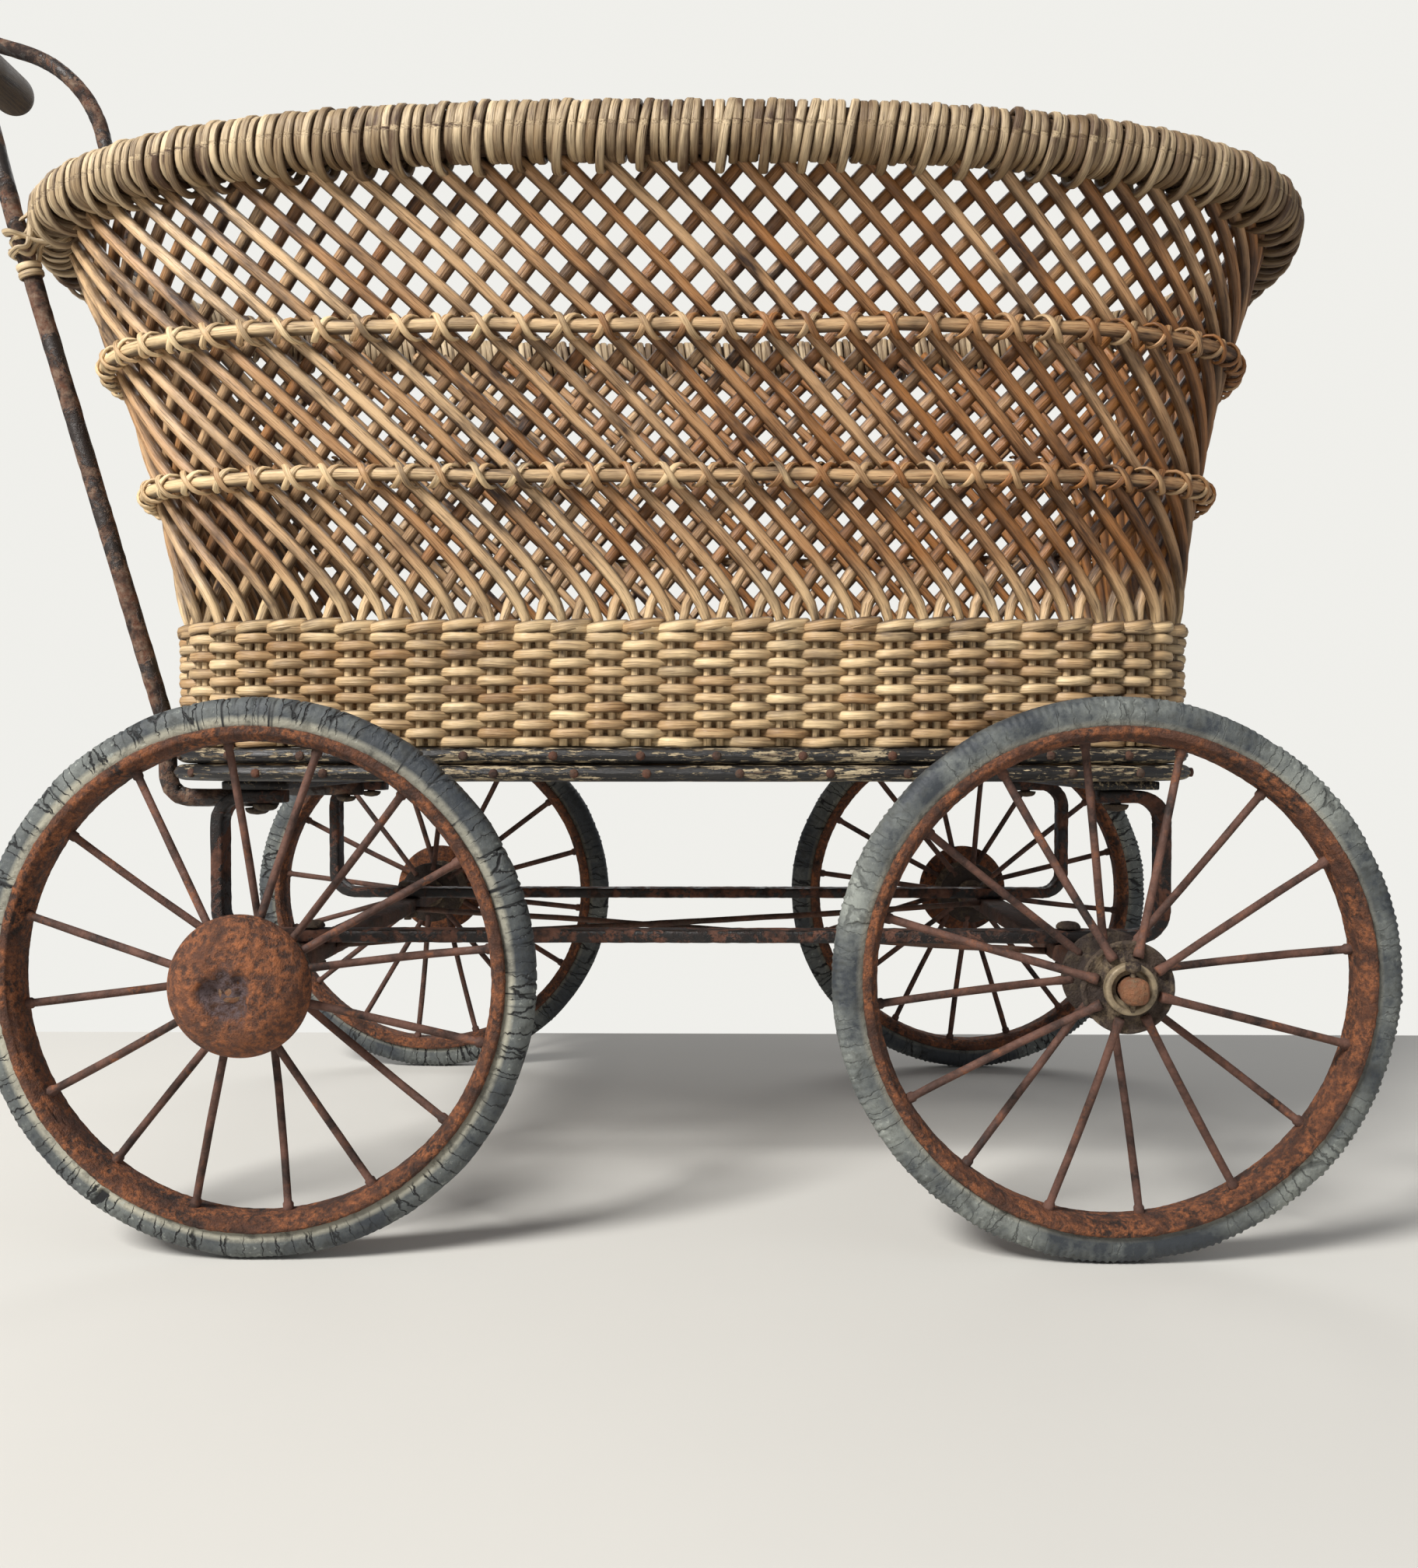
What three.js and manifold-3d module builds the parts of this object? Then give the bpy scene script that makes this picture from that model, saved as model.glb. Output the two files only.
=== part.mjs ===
// Antique doll's pram: a flared wicker basket on an iron undercarriage with four
// spoked wheels and a push handle. Millimetres, +Z up, +X towards the front.
// The origin is the bottom centre of the whole pram.
import * as THREE from 'three';
import { mergeVertices } from 'three/addons/utils/BufferGeometryUtils.js';
import Module from 'manifold-3d';

const wasm = await Module();
wasm.setup();

// ---- Driving dimensions -------------------------------------------------------
const touchGap = 0.3;          // left between pieces that touch
const runningGap = 0.45;       // hub bore over spindle, at the corners of the facets

// Wheels
const wheelRadius = 115;
const wheelbase = 349;
const tyreWidth = 14.4;
const tyreDepth = 15.2;        // from tread to the bottom of the rim channel
const treadShare = 0.24;       // half-width of the tread as a share of the tyre's width
const treadShoulder = 4.5;     // tread to the widest part of the tyre
const tyreSeat = 1.2;          // rim lip to where the tyre narrows into the channel
const rimDepth = 6.2;          // inner face to lip
const rimWidth = 18;
const rimWall = 3;
const rimLipWidth = 2;
const channelShare = 0.27;     // half-width of the rim's inner face as a share of its width
const channelSlope = 0.6;      // by which the channel is narrower than the inner face
const spokeCount = 16;
const spokeRadius = 1.7;
const spokePhase = 83;         // degrees to the first spoke
const spokeRoot = 3;           // edge of the flange to the start of a spoke
const spokeSplay = 2;          // wheel plane to the outer end of a spoke
const flangeRadius = 17.5;
const flangeThickness = 2;
const barrelRadius = 9.5;
const hubInboard = 12;         // wheel plane to the inboard face of the hub
const hubOutboard = 20;        // wheel plane to the outboard face of the hub
const hubLip = 1;              // step outboard of the outer flange
const bushLength = 3.3;
const bushRadius = 9.8;
const capRadius = 28.4;
const capHeight = 16.5;
const capWall = 1.3;
const capPlate = 1;            // thickness of the cap's back plate
const capBushGap = 0.6;        // bush to the hole in the plate
const cappedWheels = ['rear_right', 'rear_left', 'front_left'];
const wheelFacets = 28;
const hubFacets = 16;

// Axles and frame
const spindleRadius = 5;
const spindleEnd = 7;          // length of spindle outboard of the bush
const tipLength = 3.4;         // its squared end
const tipShare = 0.8;          // side of the squared end as a share of the diameter
const jointLap = 2;            // by which joined solids run into each other
const axleWidth = 15.5;
const axleHeight = 8;
const washerThickness = 2.4;
const washerRadius = 9;
const pinRadius = 1.2;
const pinLength = 17;
const barThickness = 6;
const barWidth = 13;
const barCorner = 12;
const frameHalfSpacing = 94;   // centre plane to each side frame
const frameOverhang = 42.5;    // wheel centre to the upright of the side frame
const frameFoot = 30;          // length of the turned-in top ends
const frameRise = 75;          // top of axle to underside of the base
const battenThickness = 3.9;
const battenWidth = 30;
const battenSetback = 27;      // side of the base to the end of a batten
const battenInset = 4;         // side frame upright to the outer edge of a batten
const frameBoltInset = 9;      // end of a side frame's foot to its bolt
const rodBoltOffset = 8;       // middle of the rear batten to the handle bolts
const boltRadius = 2.2;
const boltHeadRadius = 5.6;
const boltHeadHeight = 3.6;
const boltHoleGap = 0.35;      // shank to the side of its hole
const boltReach = 8;           // bolt's run up into the base board
const nutReach = 1.5;          // bolt tip below its nut
const braceRadius = 1.6;
const braceInset = 10;         // side frame centre to the ends of the cross braces

// Basket
const baseOverhang = 19.5;       // side frame upright to the end of the base
const baseHalfWidth = 130;
const edgeSet = 1;             // base size to the outline of the wickerwork
const wheelClearance = 39.5;   // side of the base to the wheel plane
const railHeight = 7.4;
const railDepth = 10;
const railNose = 0.8;          // outline to the nose of a rail
const railRound = 3;           // how far back a rail's rounding begins
const railNoseShare = 0.28;    // height at which the nose begins as a share of the rail's
const lowerRailProud = 1.5;
const bandHeight = 53.5;
const latticeHeight = 183.5;
const wallThickness = 9;
const flareLength = 63.5;        // growth of the half-length from band to rim
const flareWidth = 32;
const flarePower = 1.6;
const baseSquareness = 6;    // exponent of the plan outline, 2 being an ellipse
const rimSquareness = 2.6;
const rimLean = 9.3;           // shift of the rim towards the handle
const basketShift = -4.2;        // shift of the whole basket towards the handle
const hoopRadius = 3;
const hoopHeights = { hoop_lower: 62, hoop_upper: 122 };   // above the top of the band
const rimTubeRadius = 11;
const rimSet = 2;              // wall outline to the middle of the rim
const basketFacets = 40;

// Handle
const rodRadius = 4.25;
const rodHalfSpacing = 76;
const rodFoot = 52;            // length of rod turned in under the base
const rodFootCorner = 10;
const rodKneeRise = 8;         // top of the base to where the rods begin to slant
const rodKneeRadius = 60;
const rodBendRadius = 200;     // of the slight bend at the rim
const shoulderRise = 143;      // rim centre to the shoulder bend
const shoulderReach = 36;
const shoulderRadius = 65;
const barReach = 86;           // shoulder bend to the push bar
const barRise = 26.5;
const pushBarRadius = 13;
const pushBarLength = 340;
const pushBarDome = 0.8;       // length of its domed end as a share of its radius
const pushBarFacets = 16;
const barBoreGap = 0.65;       // rod to the side of its bore
const barBoreReach = 40;
const lashingHeight = 26;
const lashingThickness = 2.4;
const lashingDrop = 3;         // underside of the rim to the top of a collar
const lashingGap = 0.8;        // rod to rim

// ---- Places worked out from them ----------------------------------------------
const axleZ = wheelRadius;
const axleTop = axleZ + axleHeight / 2;
const baseHalfLength = wheelbase / 2 + frameOverhang + baseOverhang;
const frameHalfLength = wheelbase / 2 + frameOverhang;
const wheelPlane = baseHalfWidth + wheelClearance;
const beamHalfLength = wheelPlane - hubInboard - washerThickness - 2 * touchGap;
const spindleTip = hubOutboard + touchGap + bushLength + spindleEnd;
const boreRadius = spindleRadius + runningGap;
const baseUnderside = axleTop + frameRise;
const baseTop = baseUnderside + 2 * railHeight + touchGap;
const bandTop = baseTop + touchGap + bandHeight;
const latticeTop = bandTop + touchGap + latticeHeight;
const rimZ = latticeTop + touchGap + rimTubeRadius;
const barTopZ = baseUnderside - battenThickness - 2 * touchGap - barThickness / 2;
const barBottomZ = axleTop + touchGap + barThickness / 2;
const rodFootZ = baseUnderside - battenThickness - 2 * touchGap - rodRadius;
const battenX = frameHalfLength - battenWidth / 2 - battenInset;
const frameBoltX = frameHalfLength - frameFoot + frameBoltInset;
const rodBoltX = battenX + rodBoltOffset;

// ---- Materials ------------------------------------------------------------------
const materialOf = (color, roughness, metalness) =>
  new THREE.MeshStandardMaterial({ color, roughness, metalness });
const looks = {
  rattan: [0xa87c4c, 0.6, 0],
  straw: [0xc9b083, 0.65, 0],
  rimCane: [0xb5a483, 0.7, 0],
  blackWood: [0x1e1c1a, 0.6, 0],
  floorWood: [0x8a6e4c, 0.8, 0],
  rust: [0x7d4a2c, 0.9, 0.4],
  blackIron: [0x33271f, 0.75, 0.5],
  rubber: [0x3f4448, 0.85, 0],
  brass: [0xa08c64, 0.5, 0.8],
  handleWood: [0x5f503c, 0.6, 0],
};

// ---- Geometry helpers -------------------------------------------------------------
const pram = new THREE.Group();
pram.name = 'doll_pram';

// Indexed copy with shared vertices merged, empty triangles dropped and faces out.
function closedMesh(geometry) {
  const bare = geometry.clone();
  bare.deleteAttribute('normal');
  bare.deleteAttribute('uv');
  const merged = mergeVertices(bare, 1e-4);
  const p = merged.attributes.position;
  const at = (i) => new THREE.Vector3().fromBufferAttribute(p, i);
  const index = [];
  let volume = 0;
  for (let i = 0; i < merged.index.count; i += 3) {
    const [a, b, c] = [0, 1, 2].map((k) => merged.index.getX(i + k));
    if (a === b || b === c || c === a) continue;
    index.push(a, b, c);
    volume += at(a).dot(at(b).cross(at(c)));
  }
  merged.setIndex(volume < 0 ? index.reverse() : index);
  merged.computeVertexNormals();
  return merged;
}

function toSolid(geometry) {
  const mesh = closedMesh(geometry);
  return new wasm.Manifold(new wasm.Mesh({
    numProp: 3,
    vertProperties: new Float32Array(mesh.attributes.position.array),
    triVerts: new Uint32Array(mesh.index.array),
  }));
}

function toGeometry(solid) {
  const mesh = solid.getMesh();
  const geometry = new THREE.BufferGeometry();
  geometry.setAttribute('position', new THREE.BufferAttribute(mesh.vertProperties, 3));
  geometry.setIndex(new THREE.BufferAttribute(mesh.triVerts, 1));
  geometry.computeVertexNormals();
  return geometry;
}

const join = (parts) => toGeometry(parts.map(toSolid).reduce((a, b) => a.add(b)));
const cut = (body, tools) =>
  toGeometry(tools.map(toSolid).reduce((a, b) => a.subtract(b), toSolid(body)));

function place(parent, name, geometry, look, position = [0, 0, 0]) {
  const mesh = new THREE.Mesh(closedMesh(geometry), materialOf(...looks[look]));
  mesh.name = name;
  mesh.position.set(...position);
  parent.add(mesh);
  return mesh;
}

// Skin through rings of equal point counts, each anticlockwise about the way the rings
// run. A closed run comes back to its first ring, and an open one gets flat ends.
function skin(rings, closed) {
  const count = rings[0].length;
  const index = [];
  const spans = closed ? rings.length : rings.length - 1;
  for (let i = 0; i < spans; i += 1) {
    const here = i * count;
    const next = ((i + 1) % rings.length) * count;
    for (let j = 0; j < count; j += 1) {
      const k = (j + 1) % count;
      index.push(here + j, here + k, next + k, here + j, next + k, next + j);
    }
  }
  if (!closed) {
    const last = (rings.length - 1) * count;
    for (let j = 1; j < count - 1; j += 1) {
      index.push(0, j + 1, j, last, last + j, last + j + 1);
    }
  }
  const geometry = new THREE.BufferGeometry();
  const values = rings.flat().flatMap((p) => p.toArray());
  geometry.setAttribute('position', new THREE.Float32BufferAttribute(values, 3));
  geometry.setIndex(index);
  return geometry;
}

// Solid of revolution about Y from [radius, y] points. A profile clear of the axis closes on
// itself.
function turned(profile, facets, phase = 0) {
  const points = profile.map(([r, y]) => new THREE.Vector2(r, y));
  const onAxis = profile[0][0] === 0 && profile[profile.length - 1][0] === 0;
  if (!onAxis) points.push(points[0].clone());
  return new THREE.LatheGeometry(points, facets, phase);
}

// The same turned about Z, standing at x, y with its profile's heights along Z.
function turnedUpright(profile, facets, x, y) {
  return turned(profile, facets).rotateX(Math.PI / 2).translate(x, y, 0);
}

// Upright round tool for a bolt hole.
function drill(radius, x, y, low, high) {
  const tool = new THREE.CylinderGeometry(radius, radius, high - low, 12);
  return tool.rotateX(Math.PI / 2).translate(x, y, (low + high) / 2);
}

// Round bar from one point to another.
function roundBar(from, to, radius, facets) {
  const [a, b] = [from, to].map((p) => new THREE.Vector3(...p));
  const along = b.clone().sub(a);
  const bar = new THREE.CylinderGeometry(radius, radius, along.length(), facets);
  const turn = new THREE.Quaternion().setFromUnitVectors(
    new THREE.Vector3(0, 1, 0), along.clone().normalize());
  const middle = a.add(b).multiplyScalar(0.5);
  return bar.applyQuaternion(turn).translate(...middle.toArray());
}

// Stations along a path in the XZ plane: its corners [x, z, radius] are rounded by arcs.
// Each station has a point and the unit tangent.
function stations(corners, arcSteps) {
  const v = corners.map(([x, z]) => new THREE.Vector2(x, z));
  const run = (i) => v[i + 1].clone().sub(v[i]).normalize();
  const list = [{ point: v[0], tangent: run(0) }];
  for (let i = 1; i < v.length - 1; i += 1) {
    const [before, after] = [run(i - 1), run(i)];
    const turn = Math.atan2(before.cross(after), before.dot(after));
    const radius = corners[i][2];
    const start = v[i].clone().addScaledVector(before, -radius * Math.tan(Math.abs(turn) / 2));
    const inward = new THREE.Vector2(-before.y, before.x).multiplyScalar(Math.sign(turn));
    const centre = start.clone().addScaledVector(inward, radius);
    const steps = Math.max(1, Math.round(arcSteps * Math.abs(turn) / (Math.PI / 2)));
    for (let k = 0; k <= steps; k += 1) {
      const angle = turn * k / steps;
      list.push({
        point: start.clone().rotateAround(centre, angle),
        tangent: before.clone().rotateAround(new THREE.Vector2(), angle),
      });
    }
  }
  list.push({ point: v[v.length - 1], tangent: run(v.length - 2) });
  return list;
}

// ---- Basket ---------------------------------------------------------------------
// Plan outline at height z, 0 at the base to 1 at the rim above the band.
function outlineAt(z) {
  const rise = THREE.MathUtils.clamp((z - bandTop) / (rimZ - bandTop), 0, 1);
  const grow = rise ** flarePower;
  return {
    x: basketShift - rimLean * rise,
    a: baseHalfLength + edgeSet + flareLength * grow,
    b: baseHalfWidth + edgeSet + flareWidth * grow,
    n: THREE.MathUtils.lerp(baseSquareness, rimSquareness, rise),
    z,
  };
}

// Ring of points round an outline grown by the given amount: each point of the ellipse is
// scaled out to the superellipse of exponent n.
function ringOf(outline, grown, z) {
  return Array.from({ length: basketFacets }, (_, i) => {
    const t = (i + 0.5) * 2 * Math.PI / basketFacets;
    const [c, s] = [Math.cos(t), Math.sin(t)];
    const scale = (Math.abs(c) ** outline.n + Math.abs(s) ** outline.n) ** (-1 / outline.n);
    return new THREE.Vector3(
      outline.x + (outline.a + grown) * c * scale, (outline.b + grown) * s * scale, z);
  });
}

// Ring of round section about the outline at z, its middle grown by the given amount.
function hoop(outline, grown, radius, sides) {
  const rings = Array.from({ length: sides }, (_, k) => {
    const angle = (k + 0.5) * 2 * Math.PI / sides;
    return ringOf(outline, grown + radius * Math.cos(angle), outline.z + radius * Math.sin(angle));
  });
  return skin(rings, true);
}

// Wall through a list of heights, its outside on the outline.
function wall(heights) {
  const outside = heights.map((z) => ringOf(outlineAt(z), 0, z));
  const inside = heights.map((z) => ringOf(outlineAt(z), -wallThickness, z)).reverse();
  return skin([...outside, ...inside], true);
}

// Half-round strip bent round the edge of the base board.
function rail(low, proud) {
  const base = outlineAt(baseTop);
  const section = [
    [edgeSet - railDepth, 0], [proud - railRound, 0],
    [proud + railNose, railHeight * railNoseShare],
    [proud + railNose, railHeight * (1 - railNoseShare)],
    [proud - railRound, railHeight], [edgeSet - railDepth, railHeight]];
  return skin(section.map(([grown, up]) => ringOf(base, grown, low + up)), true);
}

const boltLow = rodFootZ - rodRadius - touchGap;
const frameBoltLow = barTopZ - barThickness / 2 - touchGap;
const boltTop = baseUnderside + boltReach;
const holeRadius = boltRadius + boltHoleGap;
const ends = [['front', 1], ['rear', -1]];
const sides = [['left', 1], ['right', -1]];
const frameBolts = ends.flatMap(([end, ex]) => sides.map(([side, sy]) =>
  ({ name: `frame_bolt_${end}_${side}`, x: ex * frameBoltX, y: sy * frameHalfSpacing })));
const handleBolts = sides.map(([side, sy]) =>
  ({ name: `handle_bolt_${side}`, x: -rodBoltX, y: sy * rodHalfSpacing }));
const baseHoles = [...frameBolts, ...handleBolts];

function floorBoard() {
  const edge = ringOf(outlineAt(baseTop), edgeSet - railDepth - touchGap, 0);
  const shape = new THREE.Shape(edge.map((p) => new THREE.Vector2(p.x, p.y)));
  const thickness = baseTop - baseUnderside;
  const board = new THREE.ExtrudeGeometry(shape, { depth: thickness, bevelEnabled: false });
  board.translate(0, 0, baseUnderside);
  return cut(board, baseHoles.map(({ x, y }) =>
    drill(holeRadius, x, y, baseUnderside - boltReach, boltTop + touchGap)));
}

function batten(ex) {
  const slat = new THREE.BoxGeometry(
    battenWidth, 2 * (baseHalfWidth - battenSetback), battenThickness);
  slat.translate(ex * battenX, 0, baseUnderside - touchGap - battenThickness / 2);
  const through = baseHoles.filter(({ x }) => Math.sign(x) === ex);
  return cut(slat, through.map(({ x, y }) =>
    drill(holeRadius, x, y, baseUnderside - 2 * boltReach, baseUnderside + boltReach)));
}

place(pram, 'basket_floor_board', floorBoard(), 'floorWood');
place(pram, 'base_rail_lower', rail(baseUnderside, lowerRailProud), 'blackWood');
place(pram, 'base_rail_upper', rail(baseUnderside + railHeight + touchGap, 0), 'blackWood');
place(pram, 'basket_band', wall([baseTop + touchGap, bandTop]), 'straw');
const hoopLevels = Object.entries(hoopHeights).map(([name, up]) => [name, bandTop + up]);
place(pram, 'basket_lattice',
  wall([bandTop + touchGap, ...hoopLevels.map(([, z]) => z), latticeTop]), 'rattan');
hoopLevels.forEach(([name, z]) =>
  place(pram, name, hoop(outlineAt(z), hoopRadius + 3 * touchGap, hoopRadius, 6), 'rattan'));
place(pram, 'basket_rim', hoop(outlineAt(rimZ), rimSet, rimTubeRadius, 8), 'rimCane');
ends.forEach(([end, ex]) => place(pram, `batten_${end}`, batten(ex), 'blackWood'));

// ---- Undercarriage ------------------------------------------------------------------
// Bolt with a domed head, a shank and, where it is asked for, a nut at its far end.
function bolt(headFace, tip, nutFace, x, y) {
  const up = Math.sign(headFace - tip);
  const profile = [
    [0, headFace + up * boltHeadHeight], [boltHeadRadius * 0.6, headFace + up * boltHeadHeight * 0.8],
    [boltHeadRadius, headFace + up * 0.6], [boltHeadRadius, headFace], [boltRadius, headFace]];
  if (nutFace !== null) {
    profile.push([boltRadius, nutFace], [boltHeadRadius, nutFace],
      [boltHeadRadius, nutFace - up * boltHeadHeight], [boltRadius, nutFace - up * boltHeadHeight]);
  }
  profile.push([boltRadius, tip], [0, tip]);
  return turnedUpright(profile, 8, x, y);
}

// Flat bar bent to a shallow U, its two top ends turned in under the base.
function sideFrame(y) {
  const top = frameHalfLength;
  const path = stations([
    [-top + frameFoot, barTopZ], [-top, barTopZ, barCorner], [-top, barBottomZ, barCorner],
    [top, barBottomZ, barCorner], [top, barTopZ, barCorner], [top - frameFoot, barTopZ]], 3);
  const offset = (reach) => path.map(({ point, tangent }) =>
    new THREE.Vector2(point.x - tangent.y * reach, point.y + tangent.x * reach));
  const outline = [...offset(barThickness / 2), ...offset(-barThickness / 2).reverse()];
  const bar = new THREE.ExtrudeGeometry(new THREE.Shape(outline),
    { depth: barWidth, bevelEnabled: false });
  bar.rotateX(Math.PI / 2).translate(0, y + barWidth / 2, 0);
  const holes = [-1, 1].flatMap((ex) => [
    drill(holeRadius, ex * frameBoltX, y, barTopZ - boltReach, barTopZ + boltReach),
    drill(holeRadius, ex * wheelbase / 2, y, barBottomZ - boltReach, barBottomZ + boltReach)]);
  return cut(bar, holes);
}

// Flat beam with a round spindle at each end and a squared tip.
function axle(x) {
  const reach = wheelPlane + spindleTip;
  const beam = new THREE.BoxGeometry(axleWidth, 2 * beamHalfLength, axleHeight);
  const side = 2 * spindleRadius * tipShare;
  const tipBlock = tipLength + jointLap;
  const stubs = [-1, 1].flatMap((sy) => {
    const [from, to] = [sy * (beamHalfLength - jointLap), sy * (reach - tipLength)];
    const tip = new THREE.BoxGeometry(side, tipBlock, side);
    return [
      roundBar([0, from, 0], [0, to, 0], spindleRadius, hubFacets),
      tip.translate(0, sy * (reach - tipBlock / 2), 0)];
  });
  const holes = [-1, 1].map((sy) =>
    drill(holeRadius, 0, sy * frameHalfSpacing, -axleHeight, axleHeight));
  const pinHoles = [-1, 1].map((sy) => {
    const y = sy * (wheelPlane + hubOutboard + 2 * touchGap + bushLength + pinRadius);
    return drill(pinRadius + touchGap, 0, y, -pinLength, pinLength);
  });
  return cut(join([beam, ...stubs]), [...holes, ...pinHoles]).translate(x, 0, axleZ);
}

const braceEnd = wheelbase / 2 - axleWidth / 2 - touchGap;
const braceReach = frameHalfSpacing - braceInset;
const braceSplit = braceRadius + touchGap / 2;

sides.forEach(([side, sy]) =>
  place(pram, `side_frame_${side}`, sideFrame(sy * frameHalfSpacing), 'blackIron'));
ends.forEach(([end, ex]) => place(pram, `axle_${end}`, axle(ex * wheelbase / 2), 'rust'));
[['a', 1], ['b', -1]].forEach(([letter, turn]) => {
  const z = axleZ + turn * braceSplit;
  const bar = roundBar([-braceEnd, -turn * braceReach, z], [braceEnd, turn * braceReach, z],
    braceRadius, 6);
  const between = new THREE.BoxGeometry(2 * braceEnd, 4 * braceReach, 4 * axleHeight).translate(0, 0, axleZ);
  place(pram, `brace_rod_${letter}`,
    toGeometry(toSolid(bar).intersect(toSolid(between))), 'rust');
});
ends.forEach(([end, ex]) => sides.forEach(([side, sy]) => {
  const nutFace = axleZ - axleHeight / 2 - touchGap;
  place(pram, `axle_bolt_${end}_${side}`,
    bolt(barBottomZ + barThickness / 2 + touchGap, nutFace - boltHeadHeight - nutReach, nutFace,
      ex * wheelbase / 2, sy * frameHalfSpacing), 'rust');
}));
frameBolts.forEach(({ name, x, y }) =>
  place(pram, name, bolt(frameBoltLow, boltTop, null, x, y), 'rust'));
handleBolts.forEach(({ name, x, y }) =>
  place(pram, name, bolt(boltLow, boltTop, null, x, y), 'rust'));

// ---- Handle ---------------------------------------------------------------------------
const rimOutline = outlineAt(rimZ);
const rimReach = rimSet + rimTubeRadius;
const acrossShare = (rodHalfSpacing / (rimOutline.b + rimReach)) ** rimOutline.n;
const rimOuterAtRod =
  rimOutline.x - (rimOutline.a + rimReach) * (1 - acrossShare) ** (1 / rimOutline.n);
const rodAtRim = rimOuterAtRod - lashingGap - rodRadius;
const shoulderX = rodAtRim - shoulderReach;
const barX = shoulderX - barReach;
const shoulderZ = rimZ + shoulderRise;
const barZ = shoulderZ + barRise;
const baseRear = basketShift - baseHalfLength - edgeSet - lowerRailProud - railNose;
const footX = baseRear - touchGap - rodRadius;
const kneeZ = baseTop + rodKneeRise;
const rodPath = [
  [footX + rodFoot, rodFootZ], [footX, rodFootZ, rodFootCorner], [footX, kneeZ, rodKneeRadius],
  [rodAtRim, rimZ, rodBendRadius], [shoulderX, shoulderZ, shoulderRadius], [barX, barZ]];

function handleRod(y) {
  const rings = stations(rodPath, 8).map(({ point, tangent }) =>
    Array.from({ length: 8 }, (_, k) => {
      const angle = k * Math.PI / 4;
      const [c, s] = [rodRadius * Math.cos(angle), rodRadius * Math.sin(angle)];
      return new THREE.Vector3(point.x - tangent.y * c, y + s, point.y + tangent.x * c);
    }));
  const rod = skin(rings, false);
  return cut(rod, [drill(holeRadius, -rodBoltX, y, rodFootZ - 2 * rodRadius, rodFootZ + 2 * rodRadius)]);
}

// Turned wooden bar, domed at both ends and bored for the two rods.
function pushBar() {
  const half = pushBarLength / 2;
  const dome = pushBarRadius * pushBarDome;
  const [bevel, bevelRise] = [pushBarRadius * 0.7, dome * 0.3];
  const profile = [[0, -half], [bevel, -half + bevelRise], [pushBarRadius, -half + dome],
    [pushBarRadius, half - dome], [bevel, half - bevelRise], [0, half]];
  const bar = turned(profile, pushBarFacets, Math.PI / pushBarFacets).translate(barX, 0, barZ);
  const slope = Math.hypot(barReach, barRise);
  const [dx, dz] = [-barReach / slope, barRise / slope];
  const bores = [-1, 1].map((sy) => roundBar(
    [barX - barBoreReach * dx, sy * rodHalfSpacing, barZ - barBoreReach * dz],
    [barX + touchGap * dx, sy * rodHalfSpacing, barZ + touchGap * dz],
    rodRadius + barBoreGap, pushBarFacets));
  return cut(bar, bores);
}

// Cane collar round a rod just outside the rim.
function lashing(y) {
  const slope = Math.hypot(rodAtRim - footX, rimZ - kneeZ);
  const [dx, dz] = [(rodAtRim - footX) / slope, (rimZ - kneeZ) / slope];
  const at = (reach) => [rodAtRim + reach * dx, y, rimZ + reach * dz];
  const outer = rodRadius + touchGap + lashingThickness;
  const high = -rimTubeRadius - lashingDrop;
  const low = high - lashingHeight;
  const sleeve = roundBar(at(low), at(high), outer, 12);
  const bore = roundBar(at(low - outer), at(high + outer), rodRadius + touchGap / Math.cos(Math.PI / 8), 12);
  return cut(sleeve, [bore]);
}

sides.forEach(([side, sy]) => {
  place(pram, `handle_rod_${side}`, handleRod(sy * rodHalfSpacing), 'blackIron');
  place(pram, `lashing_${side}`, lashing(sy * rodHalfSpacing), 'rimCane');
});
place(pram, 'push_bar', pushBar(), 'handleWood');

// ---- Wheels -------------------------------------------------------------------------
// Wheel pieces turn about Y with +Y outboard, centred on the wheel plane.
const trueRadius = 1 / Math.cos(Math.PI / wheelFacets);
const channelFloor = wheelRadius - tyreDepth;
const rimInner = channelFloor - rimWall - touchGap;
const rimLip = rimInner + rimDepth;
const innerHalf = rimWidth * channelShare;
const tyreFoot = innerHalf - channelSlope - 2 * touchGap;

function tyre() {
  const tread = tyreWidth * treadShare;
  const half = tyreWidth / 2;
  const [widest, neck] = [wheelRadius - treadShoulder, rimLip + tyreSeat];
  const profile = [
    [wheelRadius, -tread], [wheelRadius, tread], [widest, half], [neck, half - channelSlope],
    [channelFloor, tyreFoot], [channelFloor, -tyreFoot], [neck, channelSlope - half], [widest, -half]];
  return turned(profile.map(([r, y]) => [r * trueRadius, y]), wheelFacets, Math.PI / wheelFacets);
}

function rim() {
  const lip = rimWidth / 2;
  const edge = lip - rimLipWidth;
  const floor = rimInner + rimWall;
  const channel = innerHalf - channelSlope;
  const profile = [
    [rimInner, -innerHalf], [rimInner, innerHalf], [rimLip, lip], [rimLip, edge],
    [floor, channel], [floor, -channel], [rimLip, -edge], [rimLip, -lip]];
  return turned(profile.map(([r, y]) => [r * trueRadius, y]), wheelFacets, Math.PI / wheelFacets);
}

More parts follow.
